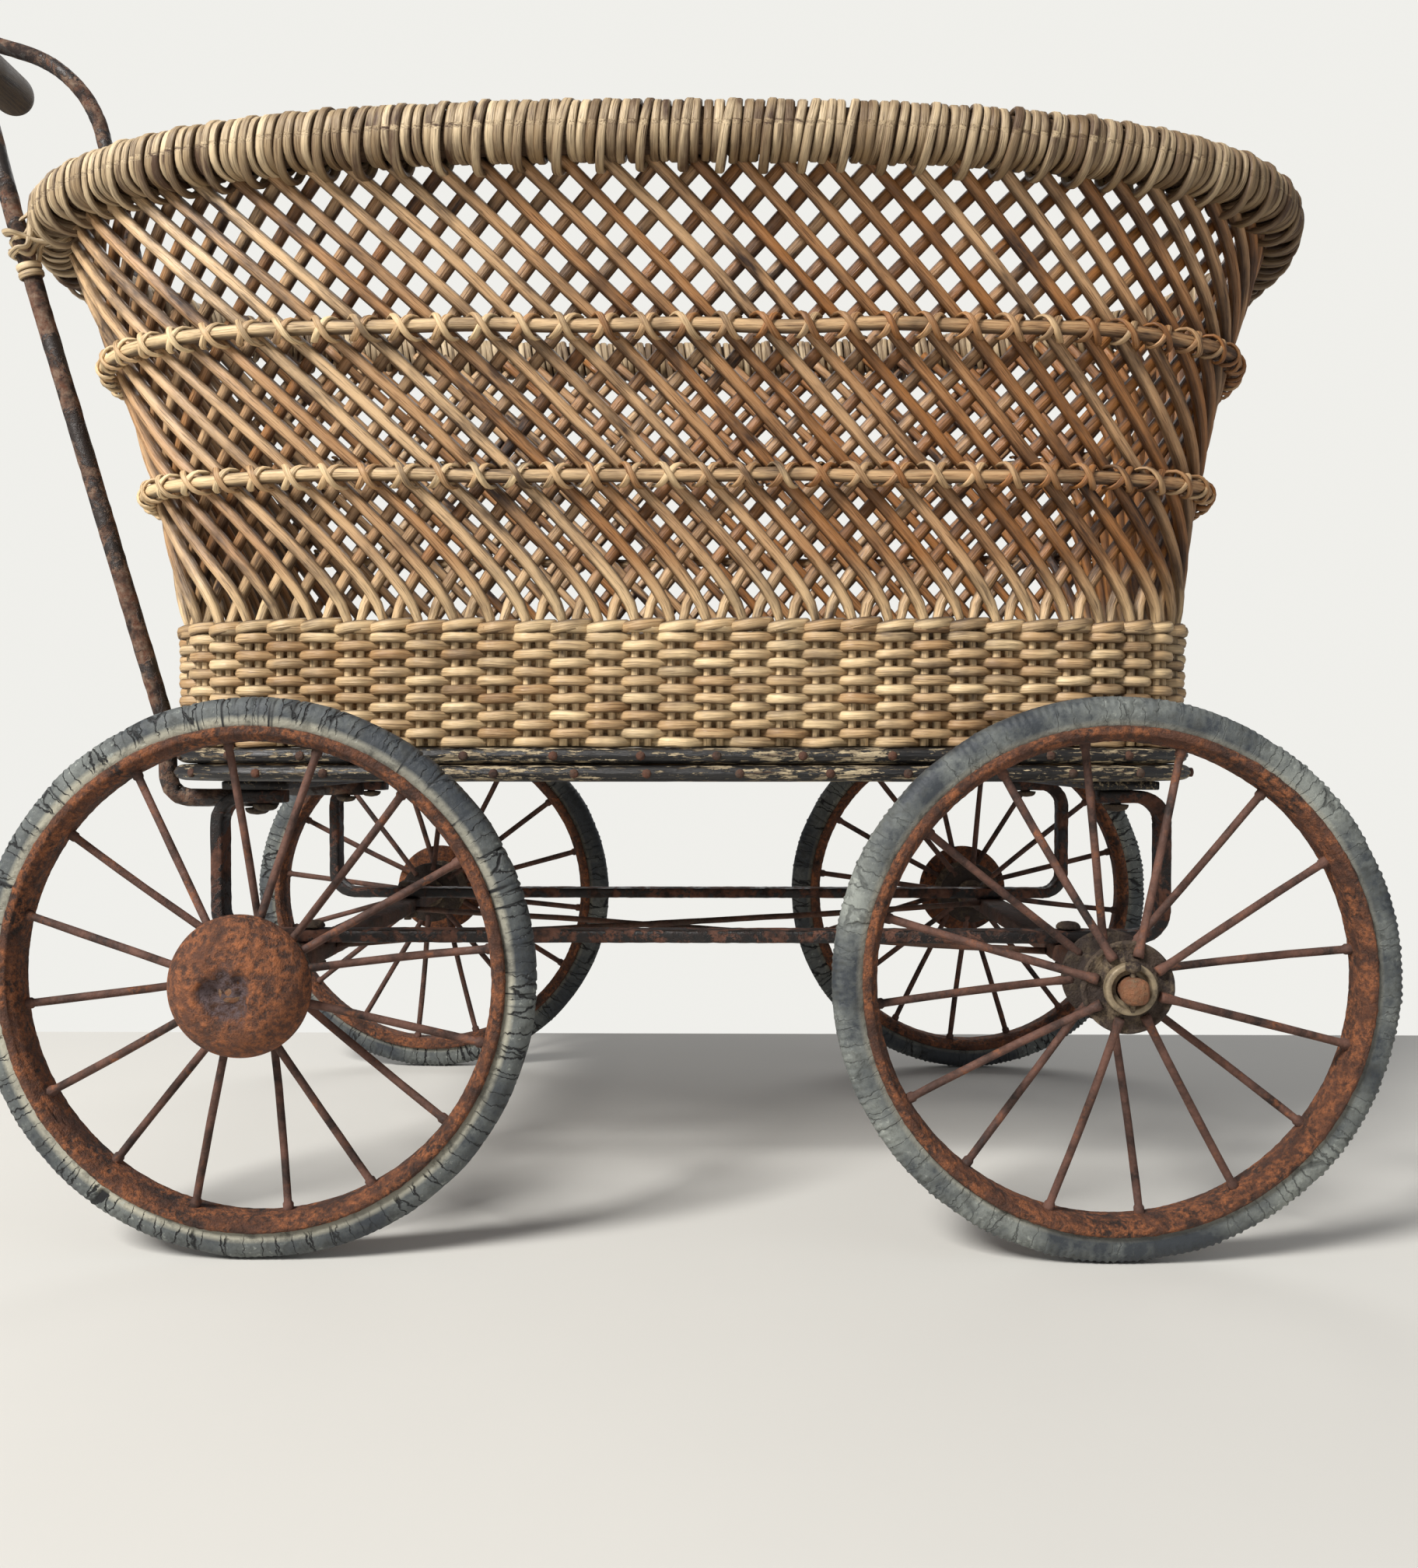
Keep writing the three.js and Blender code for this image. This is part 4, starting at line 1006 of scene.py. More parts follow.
class PRAM_OT_base(bpy.types.Operator):
    """Floor planks, flaking half-round rails with nails, and battens"""

    bl_idname = "pram.base"
    bl_label = "Base"

    def execute(self, context):
        s = context.scene.pram_basket
        rng = np.random.default_rng(23)
        low, high = corners("basket_floor_board")
        half_length, half_width = (high - low)[:2] / 2
        gap = 1.2 * MM
        edges = np.linspace(-half_width, half_width, s.planks + 1)
        share = np.concatenate([[-1, -0.997], np.linspace(-0.99, 0.99, 40), [0.997, 1]])
        planks = []
        for left, right in zip(edges[:-1], edges[1:]):
            top = high[2] - 0.1 * MM - rng.uniform(0, 0.5) * MM
            section = fillet([(left + gap / 2, low[2]), (right - gap / 2, low[2]),
                              (right - gap / 2, top), (left + gap / 2, top)], 1.5 * MM, 2)
            y = section[:, 0].clip(-half_width * 0.999, half_width * 0.999)
            n = BASE_SQUARENESS
            reach = half_length * (1 - np.abs(y / half_width) ** n) ** (1 / n)
            x = middle("basket_floor_board")[0] + share[:, None] * reach[None]
            edge = (np.abs(share) > 0.998)[:, None] * 0.8 * MM
            centre_z = (low[2] + top) / 2
            z = section[:, 1] + np.where(section[:, 1] > centre_z, -edge, edge)
            planks.append(points_at(x, y, z))
        planks = np.array(planks)
        count, stations, sides, _ = planks.shape
        index = np.arange(planks.size // 3).reshape(count, stations, sides)
        here, nxt = index[:, :-1], index[:, 1:]
        quads = np.stack([here, np.roll(here, -1, 2), np.roll(nxt, -1, 2), nxt], -1)
        ends = np.concatenate([index[:, 0, ::-1], index[:, -1]])
        local = planks.copy()
        plank_step = 0.9
        local[..., 0] += np.arange(count)[:, None, None] * plank_step
        floor = build("floor_planks", planks, quads, ends, {"cane": local.reshape(-1, 3)})
        dress(floor, "floor_wood", "floor_wood", "chassis", "basket_floor_board")

        stations = 520
        u = np.arange(stations) / stations
        nails = []
        for node, proud in (("base_rail_upper", 0.0), ("base_rail_lower", 1.5 * MM)):
            low, high = corners(node)
            z = (low[2] + high[2]) / 2
            half = (high[2] - low[2]) / 2 - 0.1 * MM
            points, normal = ring_at(u, z, -4.1 * MM + proud)
            arc = np.radians(np.linspace(-90, 90, 19))
            groove = np.exp(-((arc - 0.35) / 0.1) ** 2) + np.exp(-((arc + 0.45) / 0.1) ** 2)
            face = np.stack([5.1 * MM * np.cos(arc) - 0.5 * MM * groove, half * np.sin(arc)], -1)
            ring = np.concatenate([face, [(-5.2 * MM, half), (-5.2 * MM, -half)]])
            swell = 1 + 0.05 * smooth_noise((stations,), 130, rng)
            swell = np.stack([swell, 0.5 + 0.5 * swell.clip(0, 1)], -1)
            section = ring[None, None] * swell[None, :, None]
            rail = sweep(f"{node}_strip", points[None], normal[None], section, [0.5], closed=True)
            dress(rail, "flaked_black_wood", "black_wood", "chassis", node)
            count = int(ring_length(z) / context.scene.pram_iron.nail_pitch)
            where = (np.arange(count) + rng.uniform(-0.12, 0.12, count) + 0.25 * (proud > 0)) / count
            nails.append(ring_at(where, z, 1.2 * MM + proud))
        heads = np.concatenate([n[0] for n in nails])
        faces = np.concatenate([n[1] for n in nails])
        steps = np.array([-2.0, 0.1, 0.6, 0.9]) * MM
        size_at = np.array([2.1, 2.1, 1.6, 0.5]) * MM
        centre = heads[:, None] + faces[:, None] * steps[:, None]
        section = round_section(8)[None, None] * size_at[None, :, None, None]
        nail_heads = sweep("rail_nails", centre, np.array([0, 0, 1.0]), section)
        dress(nail_heads, "axle_rust", "rusty_iron", "chassis")

        for end in ENDS:
            node = f"batten_{end}"
            slat = slat_across(f"{node}_slat", node)
            dress(slat, "flaked_black_wood", "black_wood", "chassis", node)
        return {"FINISHED"}


def slat_across(name, node):
    """Straight bar that fills a node's box along Y: a rounded rectangle swept along it, its
    skin roughened."""
    low, high = corners(node)
    centre = (low + high) / 2
    w, h = ((high - low) / 2)[[0, 2]]
    stations = 60
    path = points_at(centre[0], np.linspace(low[1], high[1], stations), centre[2])
    section = fillet([(h, -w), (h, w), (-h, w), (-h, -w)], 0.9 * MM, 3)
    rough = 0.12 * MM
    rng = np.random.default_rng(3)
    section = section[None] * (1 - rng.uniform(0, 1, (stations, len(section), 1)) * rough / max(h, w))
    return sweep(name, path[None], np.array([0, 0, 1.0]), section[None])


def rod_places(side):
    """Corners (x, z, radius) of a handle rod: foot, knee, shoulder and push bar."""
    s = bpy.context.scene.pram_iron
    low, high = corners(f"handle_rod_{side}")
    lash = middle(f"lashing_{side}")
    radius = (high[1] - low[1]) / 2
    foot_z = low[2] + radius
    foot = np.array([high[0] - s.foot_length, foot_z])
    knee = np.array([foot[0], corners("basket_floor_board")[1][2] + s.knee_rise])
    slope = (lash[[0, 2]] - knee) / (lash[2] - knee[1])
    at_rim = knee + slope * (RIM_Z - knee[1])
    shoulder = at_rim + np.array([-s.shoulder_reach, s.shoulder_rise])
    bar = middle("push_bar")[[0, 2]]
    path = [(high[0], foot_z), (*foot, s.foot_corner), (*knee, s.knee_radius), (*at_rim, 0.2),
            (*shoulder, s.shoulder_radius), (*bar,)]
    return path, at_rim, slope, (low[1] + high[1]) / 2, radius


class PRAM_OT_handle(bpy.types.Operator):
    """Bent handle rods, turned push bar and the lashings to the rim"""

    bl_idname = "pram.handle"
    bl_label = "Handle"

    def execute(self, context):
        s = context.scene.pram_iron
        rng = np.random.default_rng(31)
        for side in SIDES:
            path, at_rim, slope, y, radius = rod_places(side)
            flat = bent_path(path, 4 * MM)
            centre = points_at(flat[:, 0], y, flat[:, 1])
            size_at = radius * (1 + 0.035 * rng.uniform(-1, 1, (len(flat), 14)))
            section = round_section(14)[None] * size_at[..., None]
            rod = sweep(f"handle_rod_{side}_iron", centre[None], np.array([0, 1.0, 0]), section[None])
            dress(rod, "rod_iron", "black_iron", "chassis", f"handle_rod_{side}")
            self.lash(side, at_rim, slope, y, radius, s.lash_strip)
        self.push_bar()
        return {"FINISHED"}

    def lash(self, side, at_rim, slope, y, radius, strip):
        """Strips that go over the rim, round the rod and back under the rim, each a smooth
        loop through ten places, and a collar of two turns on the rod below them."""
        rng = np.random.default_rng(37)
        u = np.linspace(0.3, 0.7, 801)
        rim_points, _ = ring_at(u, RIM_Z, RIM_SET)
        front = rim_points[:, 0] > 0
        near = rim_points[np.argmin(np.abs(rim_points[:, 1] - y) + front * 9)]
        direction = unit(np.array([at_rim[0], y, RIM_Z]) - near)
        across = np.array([-direction[1], direction[0], 0])
        up = np.array([0, 0, 1.0])
        wide = bpy.context.scene.pram_basket.rim_radius + strip * 0.4
        away = np.linalg.norm(np.array([at_rim[0], y, RIM_Z]) - near)
        snug = radius + strip * 0.35
        centre, outward = [], []
        for turn, low, offset in ((1, -4, -3.5), (-1, -8, 3.5), (1, -12, -1.2), (-1, -16, 1.4),
                                  (1, -18.5, 3)):
            drop = low * MM
            rod = away - slope[0] * drop
            places = np.array([
                (rod + snug, 0, drop), (rod, snug, drop + 2 * MM),
                (rod - 0.9 * snug, 0.7 * snug, drop + 6 * MM), (wide * 0.5, 2 * MM, wide * 0.95),
                (-wide * 0.5, 1 * MM, wide * 0.9), (-wide, 0, 0),
                (-wide * 0.5, -1 * MM, -wide * 0.9), (wide * 0.4, -2 * MM, -wide * 0.98),
                (rod - 0.9 * snug, -0.7 * snug, drop - 2 * MM), (rod, -snug, drop - 1 * MM)])
            path = closed_curve(places * np.array([1, turn, 1]), 60)
            centre.append(near + path[:, :1] * direction + (path[:, 1:2] + offset * MM) * across
                          + path[:, 2:] * up)
            out = unit(path - np.array([away / 2, 0, 0]))
            outward.append(out[:, :1] * direction + out[:, 1:2] * across + out[:, 2:] * up)
        section = round_section(8) * strip * np.array([0.26, 0.55])
        loops = sweep(f"lashing_{side}_loops", np.array(centre), np.array(outward), section,
                      rng.uniform(0, 1, len(centre)), closed=True)
        dress(loops, "rim_cane", "rim_cane", "chassis")
        angle = angles(36)
        c, sn = np.cos(angle), np.sin(angle)
        axis = unit(np.array([slope[0], 0, 1.0]))
        first = np.cross(axis, [0, 1.0, 0])
        radial = first[None] * c[:, None] + np.array([0, 1.0, 0]) * sn[:, None]
        rings = []
        for k in (0.6, 1.7):
            below = -(wide + 8 * MM + strip * 1.05 * k)
            base = np.array([at_rim[0] + slope[0] * below, y, RIM_Z + below])
            rings.append(base + radial * (radius + strip * 0.24) + axis * (0.9 * MM * sn)[:, None])
        collar = sweep(f"lashing_{side}_collar", np.array(rings), radial[None], section,
                       rng.uniform(0, 1, 2), closed=True)
        dress(collar, "rim_cane", "rim_cane", "chassis", f"lashing_{side}")

    def push_bar(self):
        """Turned bar: radius r(t) = R (1 - (|t| past the shoulder)^2)^0.5 along its length,
        with faint waves left by the turning."""
        low, high = corners("push_bar")
        half = (high[1] - low[1]) / 2
        radius = (high[2] - low[2]) / 2
        cap = radius * 0.95
        t = np.concatenate([np.linspace(0, 1, 12)[1:] ** 1.6 * cap - half,
                            np.linspace(cap - half, half - cap, 60)[1:-1],
                            half - cap * np.linspace(1, 0, 12)[:-1] ** 1.6])
        t = np.unique(t.round(7))
        past = np.clip((np.abs(t) - (half - cap)) / cap, 0, 0.9995)
        size_at = radius * np.sqrt(1 - past**2) * (1 + 0.012 * np.cos(t * 46))
        centre = points_at(middle("push_bar")[0], t, middle("push_bar")[2])
        section = round_section(40)[None] * size_at[:, None, None]
        bar = sweep("push_bar_wood", centre[None], np.array([0, 0, 1.0]), section[None])
        dress(bar, "handle_wood", "handle_wood", "chassis", "push_bar")


class PRAM_OT_undercarriage(bpy.types.Operator):
    """Side frames, axles, brace rods, bolts, washers and pins"""

    bl_idname = "pram.undercarriage"
    bl_label = "Undercarriage"

    def execute(self, context):
        s = context.scene.pram_iron
        rng = np.random.default_rng(41)
        for side in SIDES:
            node = f"side_frame_{side}"
            low, high = corners(node)
            thick = 6 * MM
            foot = 30 * MM
            wide = high[1] - low[1]
            left, right = low[0] + thick / 2, high[0] - thick / 2
            top, bottom = high[2] - thick / 2, low[2] + thick / 2
            bends = [(x, z, s.bar_corner) for x, z in ((left, top), (left, bottom), (right, bottom),
                                                       (right, top))]
            flat = bent_path([(left + foot, top), *bends, (right - foot, top)], 3 * MM)
            centre = points_at(flat[:, 0], (low[1] + high[1]) / 2, flat[:, 1])
            h, w = wide / 2, thick / 2
            section = fillet([(h, -w), (h, w), (-h, w), (-h, -w)], 1.6 * MM, 3)
            jitter = 1 - 0.05 * rng.uniform(0, 1, (len(flat), len(section), 1)) * np.array([0.5, 1.6])
            bar = sweep(f"{node}_bar", centre[None], np.array([0, 1.0, 0]),
                        (section[None] * jitter)[None])
            dress(bar, "painted_iron", "black_iron", "chassis", node)
        for end in ENDS:
            self.axle(f"axle_{end}")
        for letter, turn in (("a", 1), ("b", -1)):
            node = f"brace_rod_{letter}"
            low, high = corners(node)
            stations = 50
            t = np.linspace(0, 1, stations)
            z = (low[2] + high[2]) / 2
            y = np.linspace(-turn, turn, stations) * (high[1] - low[1] - 3 * MM) / 2
            centre = points_at(low[0] + (high[0] - low[0]) * t, y,
                               z + 0.6 * MM * smooth_noise((stations,), 8, rng))
            radius = 1.6 * MM * (1 + 0.06 * rng.uniform(-1, 1, (stations, 8)))
            rod = sweep(f"{node}_iron", centre[None], np.array([0, 0, 1.0]),
                        (round_section(8)[None] * radius[..., None])[None])
            dress(rod, "axle_rust", "rusty_iron", "chassis", node)
        self.bolts()
        return {"FINISHED"}

    def axle(self, node):
        """Flat beam with rounded edges between two turned spindles with squared tips."""
        low, high = corners(node)
        rng = np.random.default_rng(43)
        centre = (low + high) / 2
        beam = middle("axle_washer_front_left")[1] - 1.6 * MM
        stations = 110
        path = points_at(centre[0], np.linspace(-beam, beam, stations), centre[2])
        h, w = 4 * MM, (high[0] - low[0]) / 2
        section = fillet([(h, -w), (h, w), (-h, w), (-h, -w)], 1.8 * MM, 3)
        jitter = 1 - 0.05 * rng.uniform(0, 1, (stations, len(section), 1))
        bar = sweep(f"{node}_beam", path[None], np.array([0, 0, 1.0]), (section[None] * jitter)[None])
        dress(bar, "axle_rust", "rusty_iron", "chassis", node)
        tip = high[1]
        paths, sections = [], []
        for sign in (-1, 1):
            along = np.array([beam - 3 * MM, tip - 6.6 * MM, tip - 6.4 * MM, tip - 5.9 * MM,
                              tip - 0.9 * MM, tip])
            radius = np.array([5, 5, 4.9, 5.1, 5.1, 4.2])[:, None] * MM
            power = np.array([2, 2, 3, 3, 3, 3])[:, None]
            a = angles(24) + TURN / 48
            k = np.abs(np.cos(a)) ** power + np.abs(np.sin(a)) ** power
            k = k ** (-1 / power) * radius
            sections.append(np.stack([k * np.cos(a), k * np.sin(a)], -1))
            paths.append(points_at(centre[0], sign * along, centre[2]))
        spindles = sweep(f"{node}_spindles", np.array(paths), np.array([0, 0, 1.0]), np.array(sections))
        dress(spindles, "nut_rust", "rusty_iron", "chassis")

    def bolts(self):
        """Domed bolts as turned pieces, hexagon nuts on the ones through the axles, and
        straight pins with a round head. The frame's own washers get a finish."""
        named = [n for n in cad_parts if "_bolt_" in n]
        paths, sections = [], []
        for node in named:
            low, high = corners(node)
            centre = (low + high) / 2
            radius = (high[0] - low[0]) / 2
            head_up = node.startswith("axle_bolt")
            dome = 3.6 * MM
            z = np.array([0, 0.12, 0.3, 0.6, 0.9, 1.0]) * dome
            r = np.array([0.12, 0.62, 0.84, 0.98, 1.0, 0.4]) * radius
            if head_up:
                heights = np.concatenate([high[2] - z, [low[2]]])
            else:
                heights = np.concatenate([low[2] + z, [high[2]]])
            r = np.concatenate([r, [2.2 * MM]])
            paths.append(points_at(centre[0], centre[1], heights))
            sections.append(round_section(20)[None] * r[:, None, None])
            if head_up:
                nut = low[2] + 1.5 * MM + np.array([0, 0.4, 3.2, 3.6]) * MM
                level = np.linspace(0, 3, len(heights))
                paths.append(points_at(centre[0], centre[1], np.interp(level, range(4), nut)))
                a = angles(20)
                hexagon = radius / np.cos((a % (TURN / 6)) - TURN / 12) * 0.94
                ring = np.stack([hexagon * np.cos(a), hexagon * np.sin(a)], -1)
                bevel = np.interp(level, range(4), [0.9, 1, 1, 0.9])
                sections.append(ring[None] * bevel[:, None, None])
        bolts = sweep("undercarriage_bolts", np.array(paths), np.array([1.0, 0, 0]), np.array(sections))
        dress(bolts, "hub_rust", "rusty_iron", "chassis", *named)
        pins = [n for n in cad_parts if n.startswith("linch_pin")]
        paths, sections = [], []
        for node in pins:
            low, high = corners(node)
            centre = (low + high) / 2
            heights = np.concatenate([high[2] + np.array([2.6, 1.8, -0.6, -1.6]) * MM,
                                      np.linspace(high[2] - 2 * MM, low[2], 6)])
            r = np.array([1.6, 3.0, 3.0, 1.2] + [1.2] * 5 + [0.8]) * MM
            paths.append(points_at(centre[0], centre[1], heights))
            sections.append(round_section(12)[None] * r[:, None, None])
        linch = sweep("linch_pins_iron", np.array(paths), np.array([1.0, 0, 0]), np.array(sections))
        dress(linch, "hub_rust", "rusty_iron", "chassis", *pins)
        washers = [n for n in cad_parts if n.startswith("axle_washer")]
        for node in washers:
            for slot_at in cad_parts[node].material_slots:
                slot_at.material = finish("hub_rust")


def on_wheel(label):
    """Function that puts points given about a wheel's centre, +Y outboard, into place by a
    half turn about Z for the right-hand wheels."""
    centre = middle(f"tyre_{label}")
    sign = 1 if label.endswith("left") else -1

    def placed(points):
        return np.asarray(points) * np.array([sign, sign, 1.0]) + centre

    return placed


class PRAM_OT_tyres(bpy.types.Operator):
    """Perished rubber tyres with radial cracks"""

    bl_idname = "pram.tyres"
    bl_label = "Tyres"

    def execute(self, context):
        for number, label in enumerate(WHEELS):
            self.tyre(context.scene.pram_wheels, number, label)
        return {"FINISHED"}

    def tyre(self, s, number, label):
        """A rounded section r = m + w |cos a|^p, h = b |sin a|^p with their signs kept,
        p = 2 / 2.35, turned about the axle. Lugs push the edges of the tread out, wear
        wanders over it, and cracks, widest at a random place of the section, cut it in."""
        low, high = corners(f"tyre_{label}")
        radius, half = (high[2] - low[2]) / 2, (high[1] - low[1]) / 2
        inner = radius - 15.6 * MM
        rng = np.random.default_rng(50 + number)
        segments, ring = 4 * s.lugs, 30
        a = angles(ring)
        mid_r, half_r = (radius + inner) / 2, (radius - inner) / 2
        power = 2 / 2.35
        r = mid_r + half_r * np.sign(np.cos(a)) * np.abs(np.cos(a)) ** power
        h = half * np.sign(np.sin(a)) * np.abs(np.sin(a)) ** power
        crack = np.zeros((segments, ring))
        worst = label == "rear_right"
        depth = (1.1 if worst else 0.35) * MM
        places = rng.choice(segments, s.cracks, replace=False)
        centre_at = rng.integers(0, ring, s.cracks)
        reach = rng.uniform(4, 13, s.cracks) * (1 if worst else 0.5)
        away = np.abs((np.arange(ring)[:, None] - centre_at[None] + ring / 2) % ring - ring / 2)
        strength = np.clip(1.5 - away / reach[None], 0, 1) * rng.uniform(0.5, 1, s.cracks)
        upper = 0.25 + 0.75 * (np.sin(places * TURN / segments) > -0.1)
        strength = (strength * (r > mid_r - (6 if worst else 1) * MM)[:, None] * upper).T
        for offset, share in ((0, 1.0), (1, 0.55 if worst else 0.2)):
            np.maximum.at(crack, (places + offset) % segments, share * strength)
        crack = crack.T
        wear = smooth_noise((segments,), 48, rng) * 0.3 * MM
        wear = wear * (1 - np.linspace(0, 1, segments) ** 40)
        lug = ((r > mid_r + 0.3 * half_r) & (np.abs(h) > 0.42 * half))[:, None]
        lug = lug * ((np.arange(segments) // 2) % 2)
        lug = lug * rng.uniform(0.2, 1, (ring, segments // 4)).repeat(4, 1)
        lug = lug * (0.35 if worst else 0.75) * MM

        def shape(points):
            push = lug - depth * crack + wear[None] * (r[:, None] > mid_r) - 0.5 * MM
            scale = 1 + push / r[:, None]
            points[..., 0] *= scale[None]
            points[..., 2] *= scale[None]
            return points

        wall = np.clip((mid_r + 2.5 * MM - r) / (6 * MM), 0, 1) * (1 if worst else 0.5)
        profile = np.stack([r, h], -1)[None]
        tread = points_at(radius * TURN * np.arange(segments)[None] / segments,
                          (half_r * TURN * np.arange(ring) / ring)[:, None], number + 0.0)
        tyre = revolve(f"tyre_{label}_rubber", profile, segments, on_wheel(label), shape, {
            "crack": crack.ravel(), "wall": np.repeat(wall, segments),
            "tread": tread.reshape(-1, 3)})
        look = "chalky_rubber" if label == "front_right" else "cracked_rubber"
        dress(tyre, look, "tyre_rubber", f"wheel_{label}", f"tyre_{label}")


class PRAM_OT_wheels(bpy.types.Operator):
    """Channel rims, spokes, hubs, bushes and hub caps"""

    bl_idname = "pram.wheels"
    bl_label = "Rims, spokes and hubs"

    def execute(self, context):
        for number, label in enumerate(WHEELS):
            rng = np.random.default_rng(60 + number)
            self.rim(label, rng)
            self.spokes(context, label, rng)
            self.hub(context, label, rng)
            self.bush(label)
            if f"hub_cap_{label}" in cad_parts:
                self.cap(label, rng)
        return {"FINISHED"}

    def rim(self, label, rng):
        """Rolled channel: a closed profile with rounded edges, roughened by rust."""
        low, high = corners(f"rim_{label}")
        lip, half = (high[2] - low[2]) / 2, (high[1] - low[1]) / 2
        inner, floor = lip - 6.2 * MM, lip - 3.2 * MM
        near = [(inner, 0.5 * half), (inner + 0.9 * MM, 0.72 * half), (lip - 4.2 * MM, half * 0.86),
                (lip - 3.4 * MM, half * 1.03), (lip - 1.1 * MM, half * 1.06),
                (lip + 0.1 * MM, half * 0.94), (lip, half * 0.74), (floor, 0.45 * half)]
        profile = fillet(near + [(r, -h) for r, h in near[::-1]], 1.1 * MM, 3)
        segments = 300
        rough = 0.14 * MM * rng.uniform(-1, 1, (len(profile), segments))
        rough += 0.22 * MM * (rng.uniform(0, 1, (len(profile), segments)) > 0.93)

        def shape(points):
            r = np.hypot(points[..., 0], points[..., 2])
            points[..., [0, 2]] *= (1 + rough[None] / r)[..., None]
            points[..., 1] += rough[None] * 0.7
            return points

        rim = revolve(f"rim_{label}_iron", profile[None], segments, on_wheel(label), shape)
        dress(rim, "wheel_rust", "rusty_iron", f"wheel_{label}", f"rim_{label}")

    def spokes(self, context, label, rng):
        """Spokes from alternate flanges to the rim, each with a small head at both ends."""
        s = context.scene.pram_wheels
        low, high = corners(f"rim_{label}")
        rim_inner = (high[2] - low[2]) / 2 - 6.0 * MM
        out_y = 20.0 * MM
        in_y = -10.6 * MM
        number = np.arange(s.spokes)
        angle = s.spoke_phase + number * TURN / s.spokes + rng.uniform(-0.012, 0.012, s.spokes)
        y0 = np.where(number % 2, out_y, in_y)
        y1 = np.where(number % 2, 2.2, -2.2) * MM
        t = np.array([0, 0.02, 0.04, 0.1, 0.25, 0.4, 0.55, 0.7, 0.85, 0.955, 0.965, 0.99, 1.0])
        start = np.where(number % 2, 12.5 * MM, s.flange - 3.2 * MM)[:, None]
        r = start + (rim_inner + 0.6 * MM - start) * t
        bend = rng.uniform(-1, 1, (s.spokes, 1)) * 0.7 * MM * np.sin(np.pi * t)[None]
        c, sn = np.cos(angle)[:, None], np.sin(angle)[:, None]
        centre = points_at(r * c - bend * sn, y0[:, None] + (y1 - y0)[:, None] * t,
                           r * sn + bend * c)
        radius = np.array([1.25, 1.3, 1.15, 1, 1, 1, 1, 1, 1, 1, 1.35, 1.35, 1.35]) * s.spoke / 2
        section = round_section(8)[None, None] * radius[None, :, None, None]
        section = section * (1 + 0.05 * rng.uniform(-1, 1, (s.spokes, len(t), 8, 1)))
        place = on_wheel(label)
        outward = np.broadcast_to(np.array([0, 1.0, 0]), centre.shape)
        spokes = sweep(f"spokes_{label}_iron", place(centre), outward, section,
                       rng.uniform(0, 1, s.spokes))
        dress(spokes, "spoke_rust", "rusty_iron", f"wheel_{label}")

    def hub(self, context, label, rng):
        """Barrel with two dished flanges and a lip, turned from one rounded profile. Its parts
            behind the front flange are marked for painted shade, which the finish lays on in dark rust."""
        s = context.scene.pram_wheels
        bore, barrel, flange = 5.5, s.barrel / MM, s.flange / MM
        back = flange + 1.6
        outline = np.array([
            (bore, -12), (11, -12), (back - 1, -11.8), (back, -11), (back, -9.8), (back - 1, -9.2),
            (12.5, -8.6), (barrel, -6), (barrel, 13), (11.5, 15.8), (flange - 1, 16.4),
            (flange + 0.9, 17), (flange + 0.9, 19.2), (flange - 0.6, 19.4), (flange - 1.8, 18.6),
            (12.6, 18.7), (11.6, 20), (bore, 20)]) * MM
        profile = fillet(outline, 0.7 * MM, 2)
        segments = 96
        rough = 0.22 * MM * rng.uniform(-1, 1, (len(profile), segments))

        def shape(points):
            points[..., 1] += rough[None]
            return points

        # Painted shade: the barrel, back flange and bore, less than 16.2 mm out along the axle and so
        # behind the front flange, are marked with up to 0.75 of the shade.
        inner = np.clip((16.2 * MM - profile[:, 1]) / (1.5 * MM), 0, 1) * 0.75
        hub = revolve(f"hub_{label}_iron", profile[None], segments, on_wheel(label), shape,
                      {"dent": np.repeat(inner, segments)})
        dress(hub, "hub_rust", "rusty_iron", f"wheel_{label}", f"spoked_hub_{label}")

    def bush(self, label):
        """Brass ring with a stepped face."""
        outline = np.array([(5.5, 19.6), (10.2, 19.6), (10.2, 23.6), (9.6, 24.2), (7.8, 24.2),
                            (7.2, 21.6), (5.5, 21.6)]) * MM
        profile = fillet(outline, 0.4 * MM, 2)
        ring = revolve(f"bush_{label}_brass", profile[None], 64, on_wheel(label))
        dress(ring, "tarnished_brass", "brass", f"wheel_{label}", f"hub_bush_{label}")

    def cap(self, label, rng):
        """Pressed cap: height h(r) = H (1 - (r/R)^2.1)^0.5 over a rolled lip, its crown beaten
        in by one flat crater with a waved edge and by soft round hollows and bulges of three
        sizes. The attribute "dent" marks how deep each point lies, from 0 to 1."""
        low, high = corners(f"hub_cap_{label}")
        radius = (high[2] - low[2]) / 2
        seat = 19.3 * MM
        height = high[1] - low[1]
        r = radius * np.linspace(0.004, 1, 46) ** 0.8
        dome = seat + height * (1 - (r / radius).clip(0, 1) ** 2.1) ** 0.5
        outline = np.concatenate([np.stack([r, dome], -1)[:-1],
                                  [(radius, seat + 1.2 * MM), (radius, seat + 0.3 * MM),
                                   (radius - 0.5 * MM, seat), (radius * 0.6, seat),
                                   (radius * 0.004, seat)]])
        outline = outline[::-1]
        some, many = 9, 34
        away = np.concatenate([[1, 6, 7], rng.uniform(3, 16, some), rng.uniform(0, 11, many)]) * MM
        width = np.concatenate([[8, 5, 4], rng.uniform(3, 5, some), rng.uniform(1.3, 2.2, many)]) * MM
        depth = np.concatenate([[0.8, 1.6, 1.8], rng.uniform(0.4, 1.2, some),
                                rng.uniform(-0.9, 1.0, many)]) * MM
        turn = rng.uniform(0, TURN, len(away))
        segments = 112
        angle = angles(segments)
        x, z = outline[:, :1] * np.cos(angle), outline[:, :1] * np.sin(angle)
        gap = ((x[..., None] - away * np.cos(turn)) ** 2 + (z[..., None] - away * np.sin(turn)) ** 2)
        hollow = (depth * np.exp(-gap / width**2)).sum(-1)
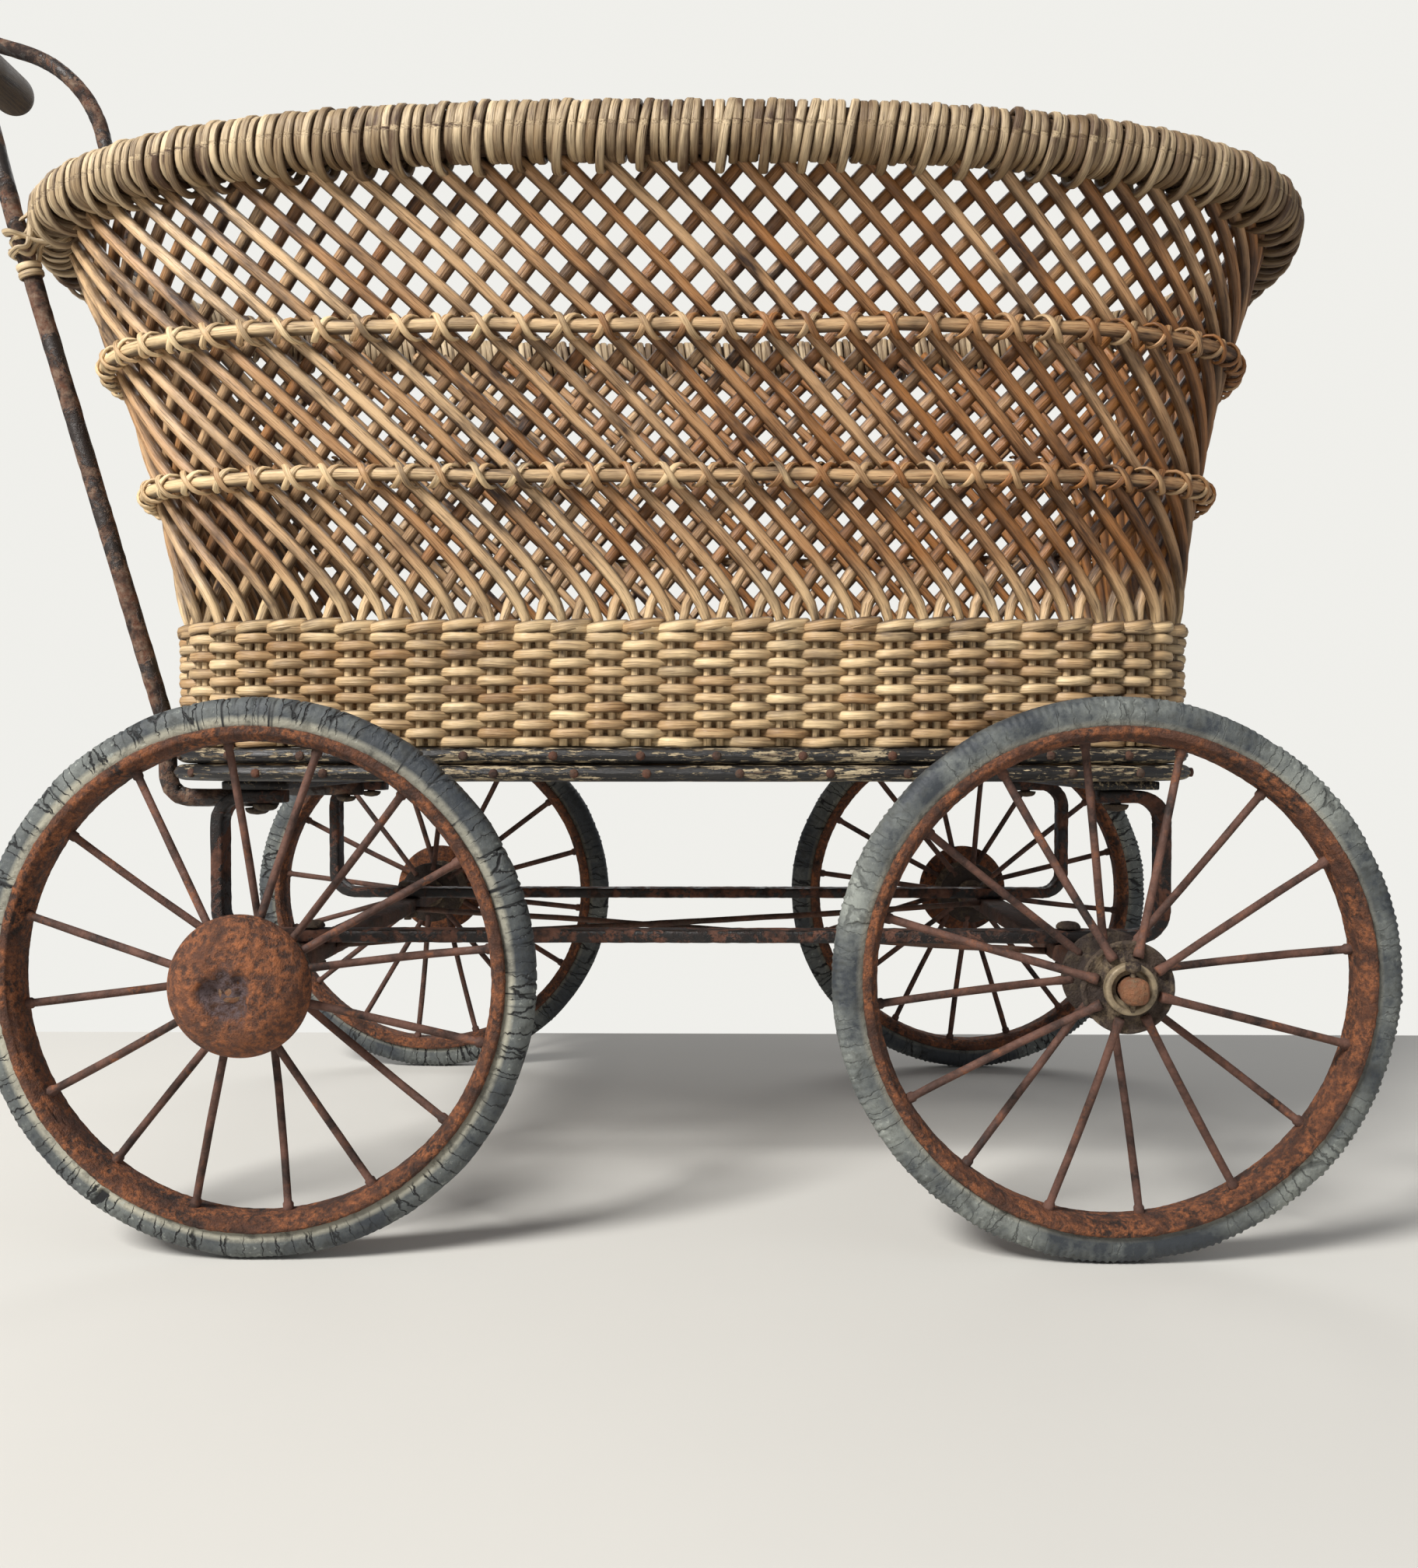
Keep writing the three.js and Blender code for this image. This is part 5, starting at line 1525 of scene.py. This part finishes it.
        crater = ((x - 1.5 * MM) ** 2 + (z + 1 * MM) ** 2) / (1 + 0.12 * np.cos(5 * angle)) ** 2
        hollow += 3.4 * MM * np.exp(-((crater / (9 * MM) ** 2) ** 2))
        hollow = hollow * (outline[:, 1] > seat + 1 * MM)[:, None]

        def shape(points):
            points[..., 1] -= hollow[None]
            return points

        cap = revolve(f"hub_cap_{label}_iron", outline[None], segments, on_wheel(label), shape,
                      {"dent": (hollow / (3.6 * MM)).clip(0, 1).ravel()})
        dress(cap, "cap_rust", "rusty_iron", f"wheel_{label}", f"hub_cap_{label}")


STEPS = (
    ("stage", PRAM_OT_stage), ("canes", PRAM_OT_canes), ("band", PRAM_OT_band),
    ("hoops", PRAM_OT_hoops), ("rim", PRAM_OT_rim), ("base", PRAM_OT_base),
    ("handle", PRAM_OT_handle), ("undercarriage", PRAM_OT_undercarriage),
    ("tyres", PRAM_OT_tyres), ("wheels", PRAM_OT_wheels),
)


class PRAM_PT_pieces(bpy.types.Panel):
    """Lists the pieces of the pram"""

    bl_label = "Doll's Pram"
    bl_idname = "PRAM_PT_pieces"
    bl_space_type = "VIEW_3D"
    bl_region_type = "UI"
    bl_category = "Doll's Pram"

    def draw(self, context):
        for _, operator in STEPS:
            self.layout.operator(operator.bl_idname)


GROUPS = (("pram_basket", PramBasketSizes), ("pram_iron", PramIronSizes),
          ("pram_wheels", PramWheelSizes), ("pram_finish", PramFinish))


def register():
    """Registers the settings, the operators and the panel."""
    for name, group in GROUPS:
        bpy.utils.register_class(group)
        setattr(bpy.types.Scene, name, PointerProperty(type=group))
    for _, operator in STEPS:
        bpy.utils.register_class(operator)
    bpy.utils.register_class(PRAM_PT_pieces)


def unregister():
    """Takes them all away again, in the opposite order."""
    bpy.utils.unregister_class(PRAM_PT_pieces)
    for _, operator in reversed(STEPS):
        bpy.utils.unregister_class(operator)
    for name, group in reversed(GROUPS):
        delattr(bpy.types.Scene, name)
        bpy.utils.unregister_class(group)


def main():
    """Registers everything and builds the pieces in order."""
    register()
    for name, _ in STEPS:
        getattr(bpy.ops.pram, name)()


if __name__ == "__main__":
    main()
